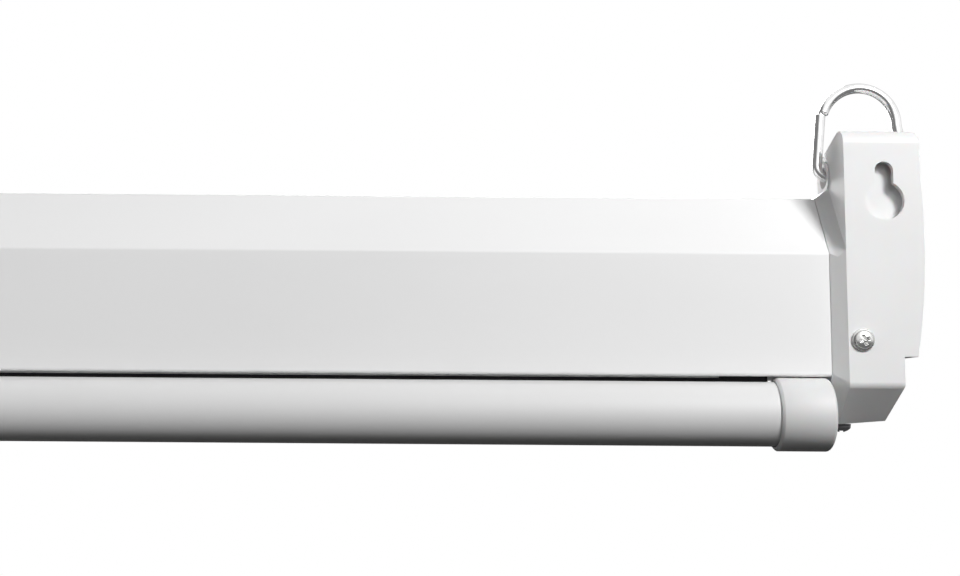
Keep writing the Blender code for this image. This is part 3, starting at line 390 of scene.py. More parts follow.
CASE_PAINT = powder_coat("case_powder_coat", (0.93, 0.93, 0.93))
BAR_PAINT = powder_coat("bar_powder_coat", (0.765, 0.765, 0.765))
print("paints:", CASE_PAINT.material.name, BAR_PAINT.material.name)

# %% [markdown]
# ## Moulded plastic
#
# The end caps come from a spark-eroded mould, which leaves a fine even grain. The round caps on
# the bar come from a polished one, and show only slow waves. Light goes a few millimetres into
# white plastic, which a little subsurface scattering gives.

# %% White plastic
GRAIN_PER_METRE = 2400.0
WAVES_PER_METRE = 34.0


def moulded_plastic(name, colour, roughness, grain):
    plastic = Finish(name, Specular_IOR_Level=0.45, Subsurface_Weight=0.08, Subsurface_Scale=0.003)
    fine = plastic.noise(plastic.place(), GRAIN_PER_METRE, 1.0)
    slow = plastic.noise(plastic.place(), WAVES_PER_METRE, 2.0)
    colours = plastic.colours(slow.smooth(0.3, 0.7), shaded(colour, 0.025), colour)
    plastic.give("Base Color", colours)
    plastic.give("Roughness", roughness + (fine - 0.5) * 0.12 + (slow - 0.5) * 0.06)
    return plastic.bump(fine, grain)


CAP_PLASTIC = moulded_plastic("end_cap_plastic", (0.875, 0.875, 0.875), 0.46, 0.012 * MM)
ROUND_CAP_PLASTIC = moulded_plastic("bar_cap_plastic", (0.76, 0.76, 0.76), 0.48, 0.004 * MM)
HANDLE_PLASTIC = moulded_plastic("handle_plastic", (0.84, 0.845, 0.85), 0.40, 0.008 * MM)
NYLON = moulded_plastic("natural_nylon", (0.76, 0.75, 0.70), 0.48, 0.012 * MM)
for plastic in (CAP_PLASTIC, ROUND_CAP_PLASTIC, HANDLE_PLASTIC, NYLON):
    print(plastic.material.name, "has", len(plastic.tree.nodes), "nodes")

# %% [markdown]
# ## Bare and plated metal
#
# Plated wire is drawn through a die, which leaves hair lines along it; stamped steel has a duller
# zinc skin with a mottled crystal look. One function makes all three metals, from their colour,
# their roughness, the scale of their mottling and the depth of their hair lines.

# %% Chrome, zinc and spring steel
HAIRS_PER_METRE = 1500.0


def plated(name, colour, roughness, mottle, scratch):
    metal = Finish(name, Metallic=1.0)
    spots = metal.noise(metal.place(), mottle, 3.0, 0.6)
    hairs = metal.noise(metal.place((1, 6, 1)), HAIRS_PER_METRE, 2.0)
    metal.give("Base Color", metal.colours(spots.smooth(0.3, 0.7), shaded(colour, 0.12), colour))
    metal.give("Roughness", roughness + (spots - 0.5) * 0.10 + (hairs - 0.5) * 0.05)
    return metal.bump(hairs, scratch)


CHROME = plated("bright_chrome", (0.94, 0.94, 0.94), 0.08, 160.0, 0.0004 * MM)
ZINC = plated("zinc_plate", (0.74, 0.74, 0.73), 0.26, 420.0, 0.004 * MM)
SPRING_STEEL = plated("oiled_spring_steel", (0.20, 0.20, 0.21), 0.36, 240.0, 0.006 * MM)
for metal in (CHROME, ZINC, SPRING_STEEL):
    print(metal.material.name, "has", len(metal.tree.nodes), "nodes")

# %% [markdown]
# ## Finishes on the CAD nodes
#
# A CAD node keeps its mesh. Only its material changes. Of the pieces that show, the case alone
# stays as CAD made it: it is bent sheet metal, with flat faces and crisp folds. The next cells
# replace the others with finer copies, and the rest are inside.

# %% Paint the carried-over nodes
STEEL_NODES = """
    bracket_right bracket_left roller_tube pawl_pin_a pawl_pin_b ratchet_wheel pawl_a pawl_b
    spring_shaft spring_anchor idle_pin hem_rod
""".split()
WORN_BY = [
    (CASE_PAINT, "case_paint", ["case_extrusion"]),
    (BAR_PAINT, "bar_paint", ["weight_bar_tube"]),
    (CAP_PLASTIC, "cap_plastic", ["end_cap_right", "end_cap_left"]),
    (ROUND_CAP_PLASTIC, "cap_plastic", ["bar_cap_right", "bar_cap_left"]),
    (HANDLE_PLASTIC, "cap_plastic", ["handle_saddle"]),
    (NYLON, "nylon", ["roller_head", "spring_plug", "idle_bush", "idle_plug"]),
    (ZINC, "zinc_steel", STEEL_NODES),
]
for finish, slot_name, names in WORN_BY:
    for name in names:
        coat(NODES[name], finish)
    print(finish.material.name, "on", len(names), "nodes")

# %% [markdown]
# A new piece stands for the CAD node that it replaces: it takes that node's place, rides on the
# same body, and is checked against the node's box, so that a slip in a formula shows at once.


# %% Putting a new piece in a node's place
def stand_for(thing, node, finish):
    """Puts a new piece in a CAD node's place, on its body, and prints how well it fits."""
    body = next(b for b, members in BODY_NODES.items() if node in members)
    points = np.array([v.co for v in thing.data.vertices])
    past = np.abs([points.min(0) - corner(node, 0), points.max(0) - corner(node, 1)]).max()
    print(f"{thing.name} stands for {node}, within {past / MM:.2f} mm of its box")
    coat(thing, finish)
    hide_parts(node)
    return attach(thing, body)


# %% [markdown]
# ## Smooth copies
#
# CAD leaves each edge sharp and each round face a row of flat ones. Moulded plastic and painted
# metal are neither. A copy of the node is made: corners that lie on one another are merged, flat
# neighbours joined, the edges bevelled, and the normals averaged by area so that flat faces stay
# flat and round ones turn smooth. Blender holds a bevel back to the shortest edge of the mesh.
# The CAD's cuts leave edges so short that the bevel gets only about a hundredth of a millimetre
# here, less on the left cap, so the edges stay crisp and the averaged normals do the work.

# %% Smoothed copies of the moulded and the round pieces
MERGE = 0.002 * MM
FLAT_ANGLE = math.radians(0.4)
EDGE_ANGLE = math.radians(32)
EDGE_STEPS = 3
CAP_EDGE = 0.8 * MM
CLIP_EDGE = 0.2 * MM


def settle(thing):
    """Makes what the modifiers give the object's own mesh."""
    graph = bpy.context.evaluated_depsgraph_get()
    mesh = bpy.data.meshes.new_from_object(thing.evaluated_get(graph))
    thing.modifiers.clear()
    thing.data = mesh


def softened(name, node, width):
    """A copy of a CAD node whose edges steeper than the edge angle are bevelled by the width, or
    by as much of it as the shortest edge allows."""
    mesh = NODES[node].data.copy()
    bm = bmesh.new()
    bm.from_mesh(mesh)
    bmesh.ops.remove_doubles(bm, verts=bm.verts, dist=MERGE)
    bmesh.ops.dissolve_limit(bm, angle_limit=FLAT_ANGLE, verts=bm.verts, edges=bm.edges)
    bm.to_mesh(mesh)
    bm.free()
    mesh.name = name
    mesh.shade_smooth()
    mesh.set_sharp_from_angle(angle=EDGE_ANGLE)
    thing = bpy.data.objects.new(name, mesh)
    bpy.context.scene.collection.objects.link(thing)
    if width:
        round_edges = thing.modifiers.new("Edges", "BEVEL")
        round_edges.width = width
        round_edges.segments = EDGE_STEPS
        round_edges.limit_method = "ANGLE"
        round_edges.angle_limit = EDGE_ANGLE
    normals = thing.modifiers.new("Normals", "WEIGHTED_NORMAL")
    normals.keep_sharp = True
    settle(thing)
    return thing


for word in ("right", "left"):
    shell = softened(f"cap_shell_{word}", f"end_cap_{word}", CAP_EDGE)
    stand_for(shell, f"end_cap_{word}", CAP_PLASTIC)
bar = softened("bar_tube", "weight_bar_tube", 0)
stand_for(bar, "weight_bar_tube", BAR_PAINT)
clip = softened("saddle_clip", "handle_saddle", CLIP_EDGE)
stand_for(clip, "handle_saddle", HANDLE_PLASTIC)

# %% [markdown]
# ## The bar's caps
#
# Each round cap is a cup, pushed over the end of the bar. Its mouth steps up from the bar with a
# steep bevel, and its outer edge is a small quarter round. A turned profile gives both at any
# fineness, where a softened copy would keep the CAD's steps.

# %% Push-on caps, turned about the bar's axis
CUP_MOUTH = 0.9 * MM
CUP_LIP = 0.45 * MM
CUP_ROUND = 1.5 * MM
CUP_FLOOR = 2.2 * MM
CUP_PLAY = 0.3 * MM
CUP_SHOULDER = (0.2 * MM, 0.1 * MM)
CUP_SIDES = 96


def cup_profile(length, radius):
    """Pairs of distance from the mouth and radius: floor, bore, bevel, shoulder, side, rim and
    end. The rim is a quarter of a circle."""
    bore = BAR_RADIUS + CUP_PLAY
    inside = [(length - CUP_FLOOR, 0), (length - CUP_FLOOR, bore), (0, bore), (0, bore + CUP_LIP)]
    shoulder = [(CUP_MOUTH, radius - CUP_SHOULDER[1]), (CUP_MOUTH + CUP_SHOULDER[0], radius)]
    rim = arc_points((length - CUP_ROUND, radius - CUP_ROUND), CUP_ROUND, 90, 0, 10)
    return [*inside, *shoulder, *rim, (length, 0)]


for side, word in ((1, "right"), (-1, "left")):
    node = f"bar_cap_{word}"
    length, across = span(node)[:2]
    mouth = corner(node, 0 if side > 0 else 1) * [1, 0, 0] + BAR_AXIS * [0, 1, 1]
    profile = cup_profile(length, across / 2)
    cup = turned(f"bar_cup_{word}", profile, mouth, (side, 0, 0), CUP_SIDES)
    cup.data.set_sharp_from_angle(angle=EDGE_ANGLE)
    stand_for(cup, node, ROUND_CAP_PLASTIC)

# %% [markdown]
# ## The hanging rings
#
# Each ring is one piece of bright wire, bent into a D whose straight foot passes through the cap's
# lug. Its two cut ends meet on the leg nearer the case, a little out of line, as bent wire does.
# A tube along the bent line gives it, and the radius falls off in the last third of a millimetre
# at each end, so that the cut edges are blunt and catch the light.

# %% Ring of bent wire
RING_WIRE = 4.3 * MM
RING_BOW = 15.7 * MM
RING_SPREAD = 3.7 * MM
RING_CORNER = 5.5 * MM
RING_HEIGHT = 39.7 * MM
RING_JOINT_RISE = 4.1 * MM
RING_JOINT_GAP = 0.15 * MM
RING_JOINT_STEP = 1.7 * MM
RING_END_OUT = 0.6 * MM
RING_STEP = 0.4 * MM
WIRE_EDGE = 0.35 * MM
WIRE_SIDES = 32
BEND_POINTS = 24
BOW_POINTS = 90


def ring_line():
    """Down the leg, round two corners, up the other leg and over a half circle, whose end
    strays outwards by the fourth power of the way along it."""
    bow, foot = RING_HEIGHT - RING_BOW, RING_BOW + RING_SPREAD
    lean = math.asin(RING_JOINT_RISE / RING_BOW)
    start = (-RING_BOW * math.cos(lean) - RING_JOINT_STEP, bow + RING_JOINT_RISE - RING_JOINT_GAP)
    corners = [start, (-foot, 0), (foot, 0), (RING_BOW, bow)]
    legs = rounded_line(corners, [RING_CORNER] * 2, BEND_POINTS)
    over = arc_points((0, bow), RING_BOW, 0, 180 - math.degrees(lean), BOW_POINTS)
    over[:, 0] -= RING_END_OUT * np.linspace(0, 1, BOW_POINTS) ** 4
    return evenly(np.vstack([legs, over[1:]]), RING_STEP)


def eased_ends(line, radius, edge):
    """The wire's radius at each point: a quarter round at each cut end."""
    run = run_along(line)
    inside = np.clip(np.minimum(run, run[-1] - run) / edge, 0, 1)
    return radius - edge * (1 - np.sqrt(1 - (1 - inside) ** 2))


for side, word in ((1, "right"), (-1, "left")):
    line = ring_line()
    hub = pivot(f"ring_swing_{word}")
    path = hub + np.column_stack([line[:, 0] * side, np.zeros(len(line)), line[:, 1]])
    radius = eased_ends(line, RING_WIRE / 2, WIRE_EDGE)
    wire = tube(f"ring_wire_{word}", path, radius, (0, 1, 0), WIRE_SIDES)
    stand_for(wire, f"ring_{word}", CHROME)

# %% [markdown]
# ## The screws
#
# A washer-head screw is one turned surface, except for the cross in its head and the thread on
# its shank. Both are written as a change to the turned profile: the cross lowers the head where
# the point lies within one of two crossed bars, and the thread pushes the radius out along a line
# that climbs one pitch for each turn. Cutting them out of a solid would leave long thin faces.

# %% The head of a screw
SCREW_SIDES = 96
DOME_ROWS, RIM_ROWS = 34, 6
DOME_FLAT = 0.93
ARM_HALF, ARM_REACH = 0.16, 0.62
ARM_SOFT, ARM_FADE = 0.09, 0.25
CROSS_DEPTH = 0.72
WASHER_HEAD = (0.80, 0.30, 0.35)
BUTTON_HEAD = (0.97, 0.12, 0.55)


def ease(x):
    """An even S from 0 to 1."""
    x = np.clip(x, 0, 1)
    return x * x * (3 - 2 * x)


def all_round(*parts):
    """Stacks rows, each of one number or of one for each side of the screw, into one array."""
    return np.vstack([np.broadcast_to(part, (len(part), SCREW_SIDES)) for part in parts])


def cross_cut(radius, angle, dome):
    """1 within one of two crossed bars on a dome of that radius, 0 outside, and an S between."""
    p, q = np.abs(radius * np.cos(angle)), np.abs(radius * np.sin(angle))
    soft, fade = dome * ARM_SOFT, dome * ARM_FADE
    bars = [
        ease((dome * ARM_HALF - b) / soft + 0.5) * ease((dome * ARM_REACH - a) / fade)
        for a, b in ((p, q), (q, p))
    ]
    return np.maximum(*bars)


def screw_head(angle, head, height, shape):
    """The radius and the rise of rows from the middle of the head to its seat. The shape is the
    dome's share of the head's radius, the washer's share of its height and the dome's fall.
    The dome rises to height * (1 - fall * (r / dome)^2), less the cross."""
    dome, washer, fall = head * shape[0], height * shape[1], shape[2]
    inner = np.linspace(0, 1, DOME_ROWS)[:, None] * dome * DOME_FLAT
    crown = height * (1 - fall * (inner / dome) ** 2)
    cut = crown - height * CROSS_DEPTH * cross_cut(inner, angle, dome)
    low = crown[-1, 0]
    quarter = np.linspace(0, 1, RIM_ROWS)[1:, None] * np.pi / 2
    rim = dome * (DOME_FLAT + (1 - DOME_FLAT) * np.sin(quarter))
    rim_rise = low - (low - washer) * (1 - np.cos(quarter))
    flange = head * np.array([[0.95], [1], [1], [0.96]])
    flange_rise = washer * np.array([[1], [0.7], [0.25], [0]])
    return all_round(inner, rim, flange), all_round(cut, rim_rise, flange_rise)


# %% The shank of a screw, and the whole screw
PITCH_SHARE = 0.7
ROWS_PER_TURN = 9
THREAD_ROOT = 0.74
RIDGE_HALF = 0.32


def screw_shank(angle, shank, length):
    """The radius and the rise of rows from the seat to the tip. The thread's ridge is an even S
    over the distance from a line that climbs one pitch for each turn."""
    pitch = shank * PITCH_SHARE
    down = -np.linspace(0, length - shank, int(length / pitch * ROWS_PER_TURN))[:, None]
    climb = (down / pitch + angle / (2 * np.pi)) % 1
    ridge = ease(1 - np.abs(climb - 0.5) / RIDGE_HALF) * ease(-down / pitch - 0.5)
    thread = shank * (THREAD_ROOT + (1 - THREAD_ROOT) * ridge)
    tip = shank * np.array([[0.5], [0.12], [0]])
    tip_rise = np.array([[shank * 0.5 - length], [-length], [-length]])
    return all_round(thread, tip), all_round(down, tip_rise)


def screw_like(name, node, towards, sizes, turn, shape=WASHER_HEAD, finish=ZINC):
    """A screw in a CAD screw's place, with the sizes head radius, head height and shank radius.
    Its head's top and its tip are the ends of that node's box. The point at angle t is
    seat + rise * towards + radius * (u cos t + v sin t)."""
    head, height, shank = sizes
    towards = np.asarray(towards, float)
    centre = middle(node)
    ends = [corner(node, 0) @ towards, corner(node, 1) @ towards]
    top, tip = max(ends), min(ends)
    seat = centre + towards * (top - height - centre @ towards)
    angle = np.linspace(0, 2 * np.pi, SCREW_SIDES, endpoint=False)[None, :]
    parts = [screw_head(angle, head, height, shape), screw_shank(angle, shank, top - height - tip)]
    radius, rise = (np.vstack(both)[..., None] for both in zip(*parts))
    u = unit(np.cross(towards, [0.0, 0.0, 1.0] if abs(towards[2]) < 0.5 else [1.0, 0.0, 0.0]))
    v = np.cross(towards, u)
    spin = (angle + turn)[..., None]
    points = seat + rise * towards + radius * (u * np.cos(spin) + v * np.sin(spin))
    made = surface(name, points, wrap_columns=True, close=SAME_POINT)
    return stand_for(made, node, finish)


# %% The six screws
FRONT_SIZES = (4.5 * MM, 2.6 * MM, 2.0 * MM)
UNDER_SIZES = (4.0 * MM, 3.6 * MM, 2.0 * MM)
CLIP_SIZES = (3.0 * MM, 1.7 * MM, 1.4 * MM)
FORWARDS, DOWN = (0, -1, 0), (0, 0, -1)

# The two screws under the ends get the dark steel finish, so they show darker than the zinc front and handle
# screws.
for word, turn in (("right", 0.32), ("left", 1.10)):
    screw_like(f"cap_screw_{word}", f"front_screw_{word}", FORWARDS, FRONT_SIZES, turn)
    under = f"bottom_screw_{word}"
    screw_like(f"under_screw_{word}", under, DOWN, UNDER_SIZES, turn, BUTTON_HEAD, SPRING_STEEL)
for letter, turn in (("a", 0.7), ("b", 0.2)):
    screw_like(f"handle_screw_{letter}", f"saddle_screw_{letter}", DOWN, CLIP_SIZES, turn)

# %% [markdown]
# ## The drive spring
#
# Inside the tube a long torsion spring winds up as the screen is pulled down. It is one wire: an
# even helix, whose two ends bend over into short legs along the axis. The direction from the axis
# to the wire sets the tube's faces, since it is never in line with the wire.

# %% Spring wire
SPRING_WIRE = 2.2 * MM
SPRING_COILS = 36
SPRING_LEG = 6.0 * MM
SPRING_STEP = 1.2 * MM
SPRING_POINTS = 20000
SPRING_SIDES = 14


def spring_line():
    """The wire runs at an even speed. The share of it that goes round the axis rises from 0 to
    1 over each leg as an even S, and the rest goes along the axis, plus the coils' even rise."""
    low, high = corner("torsion_spring", 0), corner("torsion_spring", 1)
    radius = (high[2] - low[2] - SPRING_WIRE) / 2
    wire = 2 * np.pi * radius * SPRING_COILS
    run = np.linspace(0, wire, SPRING_POINTS)
    going_round = ease(run / SPRING_LEG) * ease((wire - run) / SPRING_LEG)
    angle = np.cumsum(going_round)
    angle *= 2 * np.pi * SPRING_COILS / angle[-1]
    legs = np.cumsum(1 - going_round) * run[1]
    along = low[0] + legs + (high[0] - low[0] - legs[-1]) * run / wire
    helix = np.column_stack([along, -radius * np.sin(angle), radius * np.cos(angle)])
    return evenly(helix, SPRING_STEP) + [0, *ROLLER_AXIS[1:]]


path = spring_line()
outwards = (path - ROLLER_AXIS) * [0, 1, 1]
coil = tube("drive_spring", path, SPRING_WIRE / 2, outwards, SPRING_SIDES)
stand_for(coil, "torsion_spring", SPRING_STEEL)

# %% [markdown]
# ## The pull handle
#
# A loop of thick round bar hangs in an eye under the middle of the weight bar. It is a little
# wider at the bottom, with large bends that fit two fingers. It is made like the ring, but its
# line is closed, so the tube has no ends.

# %% Handle loop
HANDLE_WIRE = 6.0 * MM
HANDLE_WIDTH = 78.0 * MM
HANDLE_HEIGHT = 36.0 * MM
HANDLE_TAPER = 5.5 * MM
HANDLE_BEND = 10.0 * MM
HANDLE_STEP = 0.7 * MM


def handle_line():
    """A four-sided loop with rounded corners, from the middle of its top bar round to it again."""
    foot, top = HANDLE_WIDTH / 2, HANDLE_WIDTH / 2 - HANDLE_TAPER
    corners = [(0, 0), (-top, 0), (-foot, -HANDLE_HEIGHT), (foot, -HANDLE_HEIGHT), (top, 0), (0, 0)]
    return evenly(rounded_line(corners, [HANDLE_BEND] * 4, BEND_POINTS), HANDLE_STEP)[:-1]


line = handle_line()
path = pivot("handle_swing") + np.column_stack([line[:, 0], np.zeros(len(line)), line[:, 1]])
loop = tube("grip_loop", path, HANDLE_WIRE / 2, (0, 1, 0), WIRE_SIDES, closed=True)
stand_for(loop, "pull_handle", HANDLE_PLASTIC)

# %% [markdown]
# ## The cloth
#
# The screen is one long sheet of coated glass cloth: white in front, black behind, with a black
# border. It is wound on the roller as a spiral whose radius grows by one sheet for each turn, and
# its last few centimetres hang down into the weight bar. The cloth's own map holds real metres,
# so the weave and the border keep their size wherever the cloth goes.

# %% Cloth finish
CLOTH_LENGTH = 1.460
PICTURE = 1.270
BORDER = CLOTH_HALF - PICTURE / 2
WEAVE = 0.9 * MM
WEAVE_RELIEF = 0.03 * MM
SLUBS_PER_METRE = 60.0
EDGE_BLUR = 0.3 * MM
WAVES_PER_SCALE = 20 / (2 * math.pi)
WHITES = (0.84, 0.84, 0.835), (0.88, 0.88, 0.875)
INKS = (0.014, 0.014, 0.015), (0.020, 0.020, 0.021)
BORDER_INK = (0.017, 0.017, 0.018)


def screen_cloth(name, back):
    """Black where the cloth's map lies outside the picture. A wave texture of scale s has
    20 s / (2 pi) bands for each metre, so the scale comes from the pitch of the weave."""
    cloth = Finish(name, Specular_IOR_Level=0.25)
    place = cloth.node("ShaderNodeUVMap", uv_map="cloth")
    across, down = cloth.parts(place)[:2]
    scale = 1 / (WEAVE * WAVES_PER_SCALE)
    threads = [
        cloth.node("ShaderNodeTexWave", {"Vector": place, "Scale": scale}, bands_direction=way)
        for way in ("X", "Y")
    ]
    relief = (threads[0] + threads[1]) * 0.5
    slub = cloth.noise(place, SLUBS_PER_METRE, 3.0)
    beside = across.absolute().smooth(PICTURE / 2, PICTURE / 2 + EDGE_BLUR)
    foot = CLOTH_LENGTH - BORDER
    under = down.smooth(foot, foot + EDGE_BLUR)
    above = 1 - down.smooth(foot - PICTURE, foot - PICTURE + EDGE_BLUR)
    black = beside.larger(under).larger(above)
    white = cloth.colours(slub.smooth(0.3, 0.7), *WHITES)
    ink = cloth.colours(slub.smooth(0.3, 0.7), *INKS)
    cloth.give("Base Color", ink if back else cloth.colours(black, white, BORDER_INK))
    cloth.give("Roughness", 0.88 - relief * 0.12)
    return cloth.bump(relief, WEAVE_RELIEF)


CLOTH_FRONT = screen_cloth("cloth_front", back=False)
CLOTH_BACK = screen_cloth("cloth_back", back=True)
print(f"picture {PICTURE} m square, borders {BORDER / MM:.0f} mm")

# %% A sheet of cloth along a line
CLOTH_COLUMNS = 9


def cloth_sheet(name, line, down, thickness):
    """A sheet whose cut across the width is the line of (y, z) points. Widths run over the
    columns, from right to left so that the faces look forwards, and the line over the rows. The
    map holds, in metres, the distance from the middle and, in down, the distance from the end
    that is fixed to the roller."""
    widths = np.linspace(CLOTH_HALF, -CLOTH_HALF, CLOTH_COLUMNS)
    y, z = (np.repeat(column[:, None], len(widths), 1) for column in line.T)
    thing = surface(name, np.stack([np.broadcast_to(widths, y.shape), y, z], axis=-1))
    mesh = thing.data
    loops = np.empty(len(mesh.loops), np.int32)
    mesh.loops.foreach_get("vertex_index", loops)
    flat = np.column_stack([np.tile(widths, len(down)), np.repeat(down, len(widths))])
    layer = mesh.uv_layers.new(name="cloth")
    layer.data.foreach_set("uv", flat[loops].astype(np.float32).ravel())
    for finish in (CLOTH_FRONT, CLOTH_BACK):
        mesh.materials.append(finish.material)
    wall = thing.modifiers.new("Thickness", "SOLIDIFY")
    wall.thickness = thickness
    wall.offset = 0.0
    wall.material_offset = 1
    wall.material_offset_rim = 1
    settle(thing)
    return thing


# %% The wound cloth
SHEET = 0.33 * MM
WOUND_SHARE = 0.8
POINTS_PER_TURN = 90
DROP_HEIGHT = span("fabric_drop")[2]
TURNS = (CLOTH_LENGTH - DROP_HEIGHT) / (math.pi * (ROLL_INNER + ROLL_OUTER))


def spiral_line():
    """The radius grows evenly from the tube to the roll's outside, so each turn lies on the
    last. The line ends at the front of the roll, where the cloth leaves it downwards."""
    share = np.linspace(0, 1, int(TURNS * POINTS_PER_TURN))
    radius = ROLL_INNER + SHEET / 2 + (ROLL_OUTER - ROLL_INNER - SHEET) * share
    angle = np.pi - 2 * np.pi * TURNS * (1 - share)
    y, z = ROLLER_AXIS[1] + radius * np.cos(angle), ROLLER_AXIS[2] + radius * np.sin(angle)
    return np.column_stack([y, z])


line = spiral_line()
wound = run_along(line)
cloth_roll = cloth_sheet("cloth_roll", line, wound, SHEET * WOUND_SHARE)
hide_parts("fabric_roll")
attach(cloth_roll, "roller")
print(f"{wound[-1]:.3f} m of cloth in {TURNS:.1f} turns")

# %% [markdown]
# The free cloth is only a few centimetres long while the screen is up, and more than a metre when
# it is down. Its map gives each point a share w of the bar's travel, where w = t * t * (3 - 2 * t)
# and t is how far down the point lies. The map is worked out at full travel, so that the weave and
# the borders are true when the picture shows.

# %% The cloth between the roll and the bar
DROP_ROWS = 320
DROP_PLACE = middle("fabric_drop")[1]
DROP_TOP, DROP_FOOT = corner("fabric_drop", 1)[2], corner("fabric_drop", 0)[2]
TRAVEL = next(j["range_m"][1] for j in frame["joints"] if j["name"] == "pull_down")

t = np.linspace(0, 1, DROP_ROWS)
line = np.column_stack([np.full(DROP_ROWS, DROP_PLACE), DROP_TOP - DROP_HEIGHT * t])
down = CLOTH_LENGTH - TRAVEL - DROP_HEIGHT + DROP_HEIGHT * t + TRAVEL * ease(t)
cloth_drop = cloth_sheet("cloth_drop", line, down, SHEET)
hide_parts("fabric_drop")
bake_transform(cloth_drop)
print(f"free cloth {DROP_HEIGHT / MM:.1f} mm, and {(DROP_HEIGHT + TRAVEL):.3f} m at full travel")

# %% [markdown]
# ## Camera, light and floor
#
# The camera stands close to the right end, a little below the case and looking slightly up. The
# white of the case fades towards the left and the bar falls off to near black below, so one
# small soft lamp stands near the right end, above it and to its right, and little else lights
# the front. A weak lamp from the left shows the sides that face the middle of the case.

# %% Camera
PHOTO_WIDTH = 960
FOCAL_PIXELS = 1110
PITCH = math.radians(6.2)
ROLL = math.radians(0.42)
EYE = Vector((CASE_END - 0.1417, CASE_FRONT - 0.447, -0.0517))


def make_camera():
    """Places the camera at the eye. Forwards is +Y pitched up, and right and up are rolled
    about it."""
    lens = bpy.data.cameras.new("camera")
    lens.sensor_width = 36
    lens.lens = FOCAL_PIXELS / PHOTO_WIDTH * lens.sensor_width
    lens.clip_start = 0.01
    forwards = Vector((0, math.cos(PITCH), math.sin(PITCH)))
    right = Vector((1, 0, 0))
    up = right.cross(forwards)
    rolled_right = right * math.cos(ROLL) + up * math.sin(ROLL)
    rolled_up = up * math.cos(ROLL) - right * math.sin(ROLL)
    camera = bpy.data.objects.new("camera", lens)
    bpy.context.scene.collection.objects.link(camera)
    turn = Matrix((rolled_right, rolled_up, -forwards)).transposed().to_4x4()
    camera.matrix_world = Matrix.Translation(EYE) @ turn
    bpy.context.scene.camera = camera


make_camera()
bpy.context.scene.view_settings.view_transform = "Standard"
print("camera at", [round(x, 3) for x in EYE])


# %% Lamps
def lamp(name, target, towards, distance, size, watts, spread=180, mirrored=True):
    """A square soft lamp at a distance from its target, along a direction. The spread is the
    angle of its beam in degrees. Bright metal mirrors the lamp, unless mirrored is False."""
    light = bpy.data.lights.new(name, "AREA")
    light.shape = "SQUARE"
    light.size = size
    light.energy = watts
    light.spread = math.radians(spread)
    thing = bpy.data.objects.new(name, light)
    bpy.context.scene.collection.objects.link(thing)
    way = Vector(towards).normalized()
    thing.location = Vector(target) + way * distance
    thing.rotation_euler = (-way).to_track_quat("-Z", "Y").to_euler()
    thing.visible_glossy = mirrored


RIGHT_END = (CASE_END, CASE_FRONT, 0)
lamp("key", RIGHT_END, (0.40, -0.73, 0.55), 1.45, 0.38, 19)
lamp("fill", RIGHT_END, (0.16, -0.93, 0.34), 1.45, 0.50, 3)
lamp("side", RIGHT_END, (-0.84, -0.48, 0.26), 2.20, 0.80, 6.5, mirrored=False)

# %% [markdown]
# Four more lamps serve the views from other sides. They light the back, the left half, the left
# end and the cloth when it is down. The last three have narrow beams, which miss what the
# photograph shows.

# %% Lamps for the other views
lamp("back", (0, 0, 0), (0.25, 0.87, 0.42), 2.40, 1.20, 55)
lamp("far", (-0.80 * CASE_END, CASE_FRONT, 0), (-0.30, -0.80, 0.50), 1.30, 0.30, 1.1, spread=56)
lamp("left", (-CASE_END, 0, 0), (-0.75, 0.60, 0.30), 1.20, 0.30, 0.5, spread=36)
lamp("low", (0, 0, -1.05), (0, -1, 0.25), 2.40, 0.60, 2, spread=46)
print("lamps:", len(bpy.data.lights))

# %% [markdown]
# The room gives the rest. Behind the object hangs a white sheet, which lights its back and shows
# through its gaps. Bright metal needs more than lamps to look bright, so it mirrors a pale room
# on the right, with a dark side on the left and a dark floor that draw its edges.

# %% Room
DARK_BELOW = 0.02
SHEET_LIGHT = 0.06
SHEET_EDGE = (0.0, 0.7)
MIRROR_DARK = 0.20
MIRROR_SHEET = 0.45
MIRROR_LEFT = (-0.70, -0.45)
MIRROR_FLOOR = (-0.25, 0.10)


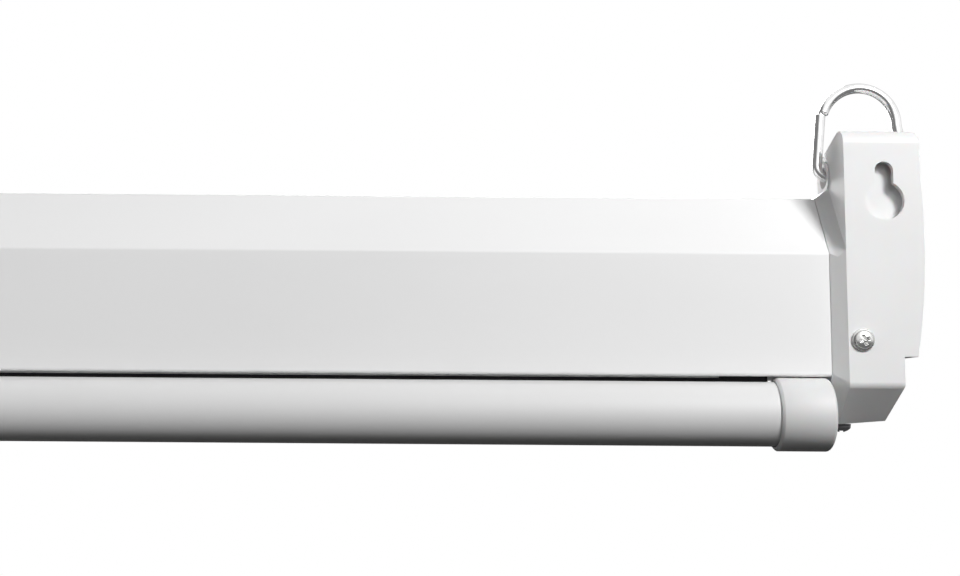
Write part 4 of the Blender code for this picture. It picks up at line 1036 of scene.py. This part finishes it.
def room():
    """The direction's three numbers say how far it points right, back and up. The sheet's light
    is an even S over the second, and the mirrored room is a product of such S over the first
    and the third, less a share where the sheet is. What looks straight at the room sees white."""
    made = bpy.data.worlds.new("studio")
    bpy.context.scene.world = made
    made.use_nodes = True
    studio = Graph(made.node_tree)
    side, depth, height = studio.parts(studio.node("ShaderNodeTexCoord", output="Generated"))
    sheet = depth.smooth(*SHEET_EDGE)
    strength = DARK_BELOW + sheet * (SHEET_LIGHT - DARK_BELOW)
    camera, through, mirror = [
        studio.node("ShaderNodeLightPath", output=f"Is {kind} Ray")
        for kind in ("Camera", "Transmission", "Glossy")
    ]
    pale = side.smooth(*MIRROR_LEFT) * height.smooth(*MIRROR_FLOOR)
    mirrored = MIRROR_DARK + pale * (1 - MIRROR_DARK) * (1 - sheet * MIRROR_SHEET)
    white = camera.larger(through).larger(mirror * mirrored)
    light = made.node_tree.nodes["Background"]
    studio.join(strength + white * (1 - strength), light.inputs["Strength"])
    studio.join((1.0, 1.0, 1.0), light.inputs["Color"])


room()

# %% [markdown]
# The floor is pale to the eye and takes the object's shadow. Further out it turns to the white of
# the sheet, so it has no edge. To the light that it throws back it is dark, like the black cloth
# that a photographer lays under a white object, so that the underside keeps its shade. Bright
# metal mirrors it as the same even grey as the room's dark side.

# %% Floor
FLOOR_DROP = 1.62
FLOOR_HALF = 9.0
FLOOR_COLOUR = (0.86, 0.86, 0.86)
BLACK_CLOTH = (0.05, 0.05, 0.05)
NEAR_GLOW = 0.70
GLOW_FROM_TO = (2.5, 7.0)


def make_floor():
    """A wide level sheet, below the lowest place that the pulled-down screen reaches. Its glow
    rises to white with the distance from the middle, as an even S."""
    u, v = np.meshgrid(np.linspace(-1, 1, 3), np.linspace(-1, 1, 3))
    points = np.stack([u * FLOOR_HALF, v * FLOOR_HALF, np.full_like(u, -FLOOR_DROP)], axis=-1)
    floor = surface("floor", points)
    pale = Finish("pale_floor", Roughness=0.7, Base_Color=FLOOR_COLOUR, Emission_Strength=1.0)
    here = pale.node("ShaderNodeTexCoord", output="Object")
    away = pale.node("ShaderNodeVectorMath", [here], output="Value", operation="LENGTH")
    glow = pale.colours(away.smooth(*GLOW_FROM_TO), (NEAR_GLOW,) * 3, (1.0, 1.0, 1.0))
    pale.give("Emission Color", glow)
    cloth = pale.node("ShaderNodeBsdfDiffuse", {"Color": BLACK_CLOTH})
    image = pale.node("ShaderNodeEmission", {"Color": (MIRROR_DARK,) * 3})
    seen, mirror = [
        pale.node("ShaderNodeLightPath", output=f"Is {kind} Ray") for kind in ("Camera", "Glossy")
    ]
    dark = pale.node("ShaderNodeMixShader", [mirror, cloth, image])
    plain = Value(pale, pale.shader.outputs[0])
    mixed = pale.node("ShaderNodeMixShader", [seen, dark, plain])
    pale.join(mixed, pale.tree.nodes["Material Output"].inputs["Surface"])
    floor.data.materials.append(pale.material)


make_floor()
